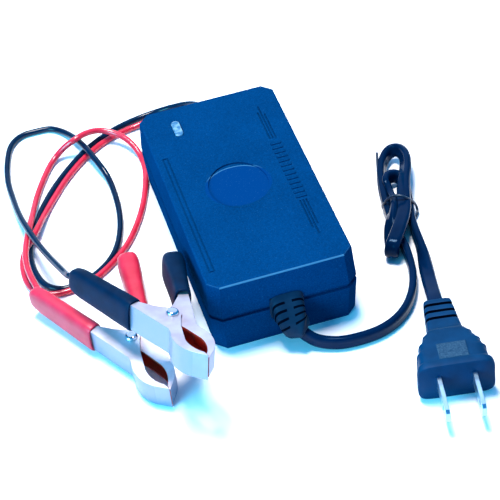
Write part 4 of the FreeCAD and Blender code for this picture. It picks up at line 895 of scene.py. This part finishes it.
# back from the waist, thickness and height of each ring of a sleeve
wire_sleeve = [
    (0.0200, 0.0062, 0.0120), (0.0206, 0.0066, 0.0124), (0.0230, 0.0066, 0.0124), (0.0280, 0.0064, 0.0122),
    (0.0340, 0.0061, 0.0119), (0.0400, 0.0059, 0.0116), (0.0450, 0.0058, 0.0114), (0.0480, 0.0058, 0.0111),
    (0.0500, 0.0058, 0.0104), (0.0515, 0.0057, 0.0097), (0.0527, 0.0055, 0.0089), (0.0534, 0.0050, 0.0078),
    (0.0538, 0.0040, 0.0060),
]
free_sleeve = [
    (0.0200, 0.0060, 0.0120), (0.0206, 0.0063, 0.0123), (0.0230, 0.0064, 0.0123), (0.0280, 0.0067, 0.0123),
    (0.0330, 0.0072, 0.0124), (0.0380, 0.0079, 0.0125), (0.0420, 0.0084, 0.0125), (0.0450, 0.0085, 0.0122),
    (0.0472, 0.0080, 0.0116), (0.0483, 0.0070, 0.0101), (0.0489, 0.0052, 0.0074), (0.0492, 0.0026, 0.0036),
]


def dipped_sleeve(colour, side, rows, material):
    """A vinyl sleeve: pulled through its rings, then hollowed from its open front."""
    mesh = bmesh.new()
    ring = rounded_ring(mesh, 48, 0.62, 0.55)
    stations = []
    for back, thick, tall in rows:
        middle = waist + handle_back * back + handle_in * SLEEVE_SHIFT
        stations.append(station(middle, -handle_in, handle_back, thick / 2, tall / 2))
    swept(mesh, ring, stations)
    front = min(mesh.faces, key=lambda f: (f.calc_center_median() - stations[0].translation).length)
    bmesh.ops.inset_region(mesh, faces=[front], use_boundary=True, use_even_offset=True,
                           thickness=SLEEVE_WALL)
    pulled = bmesh.ops.extrude_face_region(mesh, geom=[front])["geom"]
    bmesh.ops.delete(mesh, geom=[front], context="FACES_ONLY")
    deep = [g for g in pulled if isinstance(g, bmesh.types.BMVert)]
    bmesh.ops.translate(mesh, vec=handle_back * SLEEVE_HOLLOW, verts=deep)
    soften(mesh, 0.0001, 50)
    if side == "fixed":
        bmesh.ops.scale(mesh, vec=(1, -1, 1), verts=mesh.verts)
    bmesh.ops.transform(mesh, matrix=clip_frames[colour], verts=mesh.verts)
    bmesh.ops.recalc_face_normals(mesh, faces=mesh.faces)
    sleeve = new_object(colour + "_sleeve_" + side, mesh)
    shade_smooth(sleeve, 50)
    coat(sleeve, material)
    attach(sleeve, CHARGER if side == "fixed" else colour + "_clip_jaw")
    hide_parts(colour + "_clip_" + side + "_sleeve")
    return sleeve


for colour, vinyl in (("red", sleeve_red), ("black", sleeve_black)):
    fixed = dipped_sleeve(colour, "fixed", wire_sleeve, vinyl)
    moving = dipped_sleeve(colour, "moving", free_sleeve, vinyl)
    for side in ("fixed", "moving"):
        coat(nodes[colour + "_clip_" + side + "_jaw"], clip_steel(colour, side, clip_frames[colour]))
    coat(nodes[colour + "_clip_rivet"], rivet_bright)
    coat(nodes[colour + "_clip_spring"], spring_wire)
    coat(nodes[colour + "_clip_wire_crimp"], rivet_bright)

# The status window: a clear, slightly frosted blue-tinted lens over a round light,
# and the far end's rubbery grommet, and the screws from below.
lens_clear, lens_nodes, lens_links, lens_shader = new_finish("lens_clear")
lens_place = lens_nodes.new("ShaderNodeTexCoord")
lens_frost = lens_nodes.new("ShaderNodeTexNoise")
lens_frost.inputs["Scale"].default_value = 1500.0
lens_frost.inputs["Detail"].default_value = 3.0
lens_gloss = lens_nodes.new("ShaderNodeMapRange")
lens_gloss.inputs["To Min"].default_value = 0.12
lens_gloss.inputs["To Max"].default_value = 0.34
lens_bump = lens_nodes.new("ShaderNodeBump")
lens_bump.inputs["Strength"].default_value = 0.25
lens_bump.inputs["Distance"].default_value = 0.0001
lens_links.new(lens_place.outputs["Object"], lens_frost.inputs["Vector"])
lens_links.new(lens_frost.outputs["Fac"], lens_gloss.inputs["Value"])
lens_links.new(lens_gloss.outputs["Result"], lens_shader.inputs["Roughness"])
lens_links.new(lens_frost.outputs["Fac"], lens_bump.inputs["Height"])
lens_links.new(lens_bump.outputs["Normal"], lens_shader.inputs["Normal"])
lens_mottle = lens_nodes.new("ShaderNodeTexNoise")
lens_mottle.inputs["Scale"].default_value = 520.0
lens_tint = lens_nodes.new("ShaderNodeValToRGB")
lens_tint.color_ramp.elements[0].position = 0.42
lens_tint.color_ramp.elements[0].color = (0.03, 0.16, 0.32, 1)
lens_tint.color_ramp.elements[1].position = 0.60
lens_tint.color_ramp.elements[1].color = (0.22, 0.40, 0.54, 1)
lens_links.new(lens_place.outputs["Object"], lens_mottle.inputs["Vector"])
lens_links.new(lens_mottle.outputs["Fac"], lens_tint.inputs["Fac"])
lens_links.new(lens_tint.outputs["Color"], lens_shader.inputs["Base Color"])
lens_shader.inputs["Transmission Weight"].default_value = 0.30
lens_shader.inputs["IOR"].default_value = 1.49
coat(nodes["led_lens"], lens_clear)
coat(nodes["lead_grommet"], relief_vinyl)
screw_zinc = plated("screw_zinc", (0.42, 0.44, 0.46), (0.66, 0.68, 0.70), 0.22, 0.40)
coat(nodes["case_screws"], screw_zinc)
coat(nodes["board_screws"], screw_zinc)

# Inside the case: the converter's board and parts, each in the usual finish of such a
# part, with glossy lacquer, dull ferrite, dipped coatings, tape and mill-finish metal.
board_lacquer = glossy_vinyl("board_lacquer", (0.010, 0.110, 0.035), (0.020, 0.200, 0.070), 0.18, 0.34)
dull_ferrite = glossy_vinyl("dull_ferrite", (0.020, 0.020, 0.024), (0.060, 0.060, 0.066), 0.62, 0.82)
black_epoxy = glossy_vinyl("black_epoxy", (0.008, 0.008, 0.010), (0.025, 0.025, 0.028), 0.42, 0.60)
can_sleeve = glossy_vinyl("can_sleeve", (0.006, 0.010, 0.035), (0.015, 0.025, 0.070), 0.20, 0.36)
brown_dip = glossy_vinyl("brown_dip", (0.40, 0.16, 0.05), (0.58, 0.26, 0.09), 0.25, 0.42)
blue_dip = glossy_vinyl("blue_dip", (0.02, 0.10, 0.30), (0.05, 0.18, 0.45), 0.22, 0.40)
yellow_film = glossy_vinyl("yellow_film", (0.62, 0.42, 0.03), (0.80, 0.58, 0.07), 0.22, 0.38)
yellow_tape = glossy_vinyl("yellow_tape", (0.70, 0.50, 0.05), (0.86, 0.66, 0.12), 0.14, 0.30)
pale_sheet = glossy_vinyl("pale_sheet", (0.60, 0.60, 0.54), (0.78, 0.78, 0.72), 0.55, 0.75)
wire_skin = glossy_vinyl("wire_skin", (0.05, 0.05, 0.06), (0.12, 0.12, 0.14), 0.30, 0.46)
red_tint = glossy_vinyl("red_tint", (0.45, 0.02, 0.02), (0.62, 0.05, 0.04), 0.08, 0.20, 0.2)
copper_wire = plated("copper_wire", (0.46, 0.17, 0.06), (0.74, 0.34, 0.14), 0.22, 0.36, (1, 1, 9), 0.3)
mill_metal = plated("mill_metal", (0.52, 0.53, 0.55), (0.74, 0.75, 0.77), 0.24, 0.42, (1, 6, 1), 0.2)
fuse_clear, fuse_nodes, fuse_links, fuse_shader = new_finish("fuse_clear")
fuse_place = fuse_nodes.new("ShaderNodeTexCoord")
fuse_smear = fuse_nodes.new("ShaderNodeTexNoise")
fuse_smear.inputs["Scale"].default_value = 400.0
fuse_gloss = fuse_nodes.new("ShaderNodeMapRange")
fuse_gloss.inputs["To Min"].default_value = 0.02
fuse_gloss.inputs["To Max"].default_value = 0.12
fuse_links.new(fuse_place.outputs["Object"], fuse_smear.inputs["Vector"])
fuse_links.new(fuse_smear.outputs["Fac"], fuse_gloss.inputs["Value"])
fuse_links.new(fuse_gloss.outputs["Result"], fuse_shader.inputs["Roughness"])
fuse_shader.inputs["Base Color"].default_value = (0.86, 0.90, 0.90, 1)
fuse_shader.inputs["Transmission Weight"].default_value = 0.9
coat(nodes["fuse_glass"], fuse_clear)
inner_finishes = {
    "circuit_board": board_lacquer, "fuse_caps": mill_metal, "thermistor": brown_dip,
    "x_capacitor": yellow_film, "line_choke_core": dull_ferrite, "line_choke_windings": copper_wire,
    "bridge_rectifier": black_epoxy, "bulk_capacitor": can_sleeve, "transformer_core": dull_ferrite,
    "transformer_winding": yellow_tape, "transformer_pin_rails": black_epoxy, "primary_heatsink": mill_metal,
    "switching_transistor": black_epoxy, "controller_chip": black_epoxy, "optocoupler": black_epoxy,
    "y_capacitor": blue_dip, "secondary_heatsink": mill_metal, "output_diode": black_epoxy,
    "output_capacitors": can_sleeve, "output_choke": copper_wire, "output_choke_core": dull_ferrite,
    "insulation_sheet": pale_sheet, "status_led": red_tint, "mains_core_wires": wire_skin,
    "output_core_wires": wire_skin,
}
for name, finish in inner_finishes.items():
    coat(nodes[name], finish)
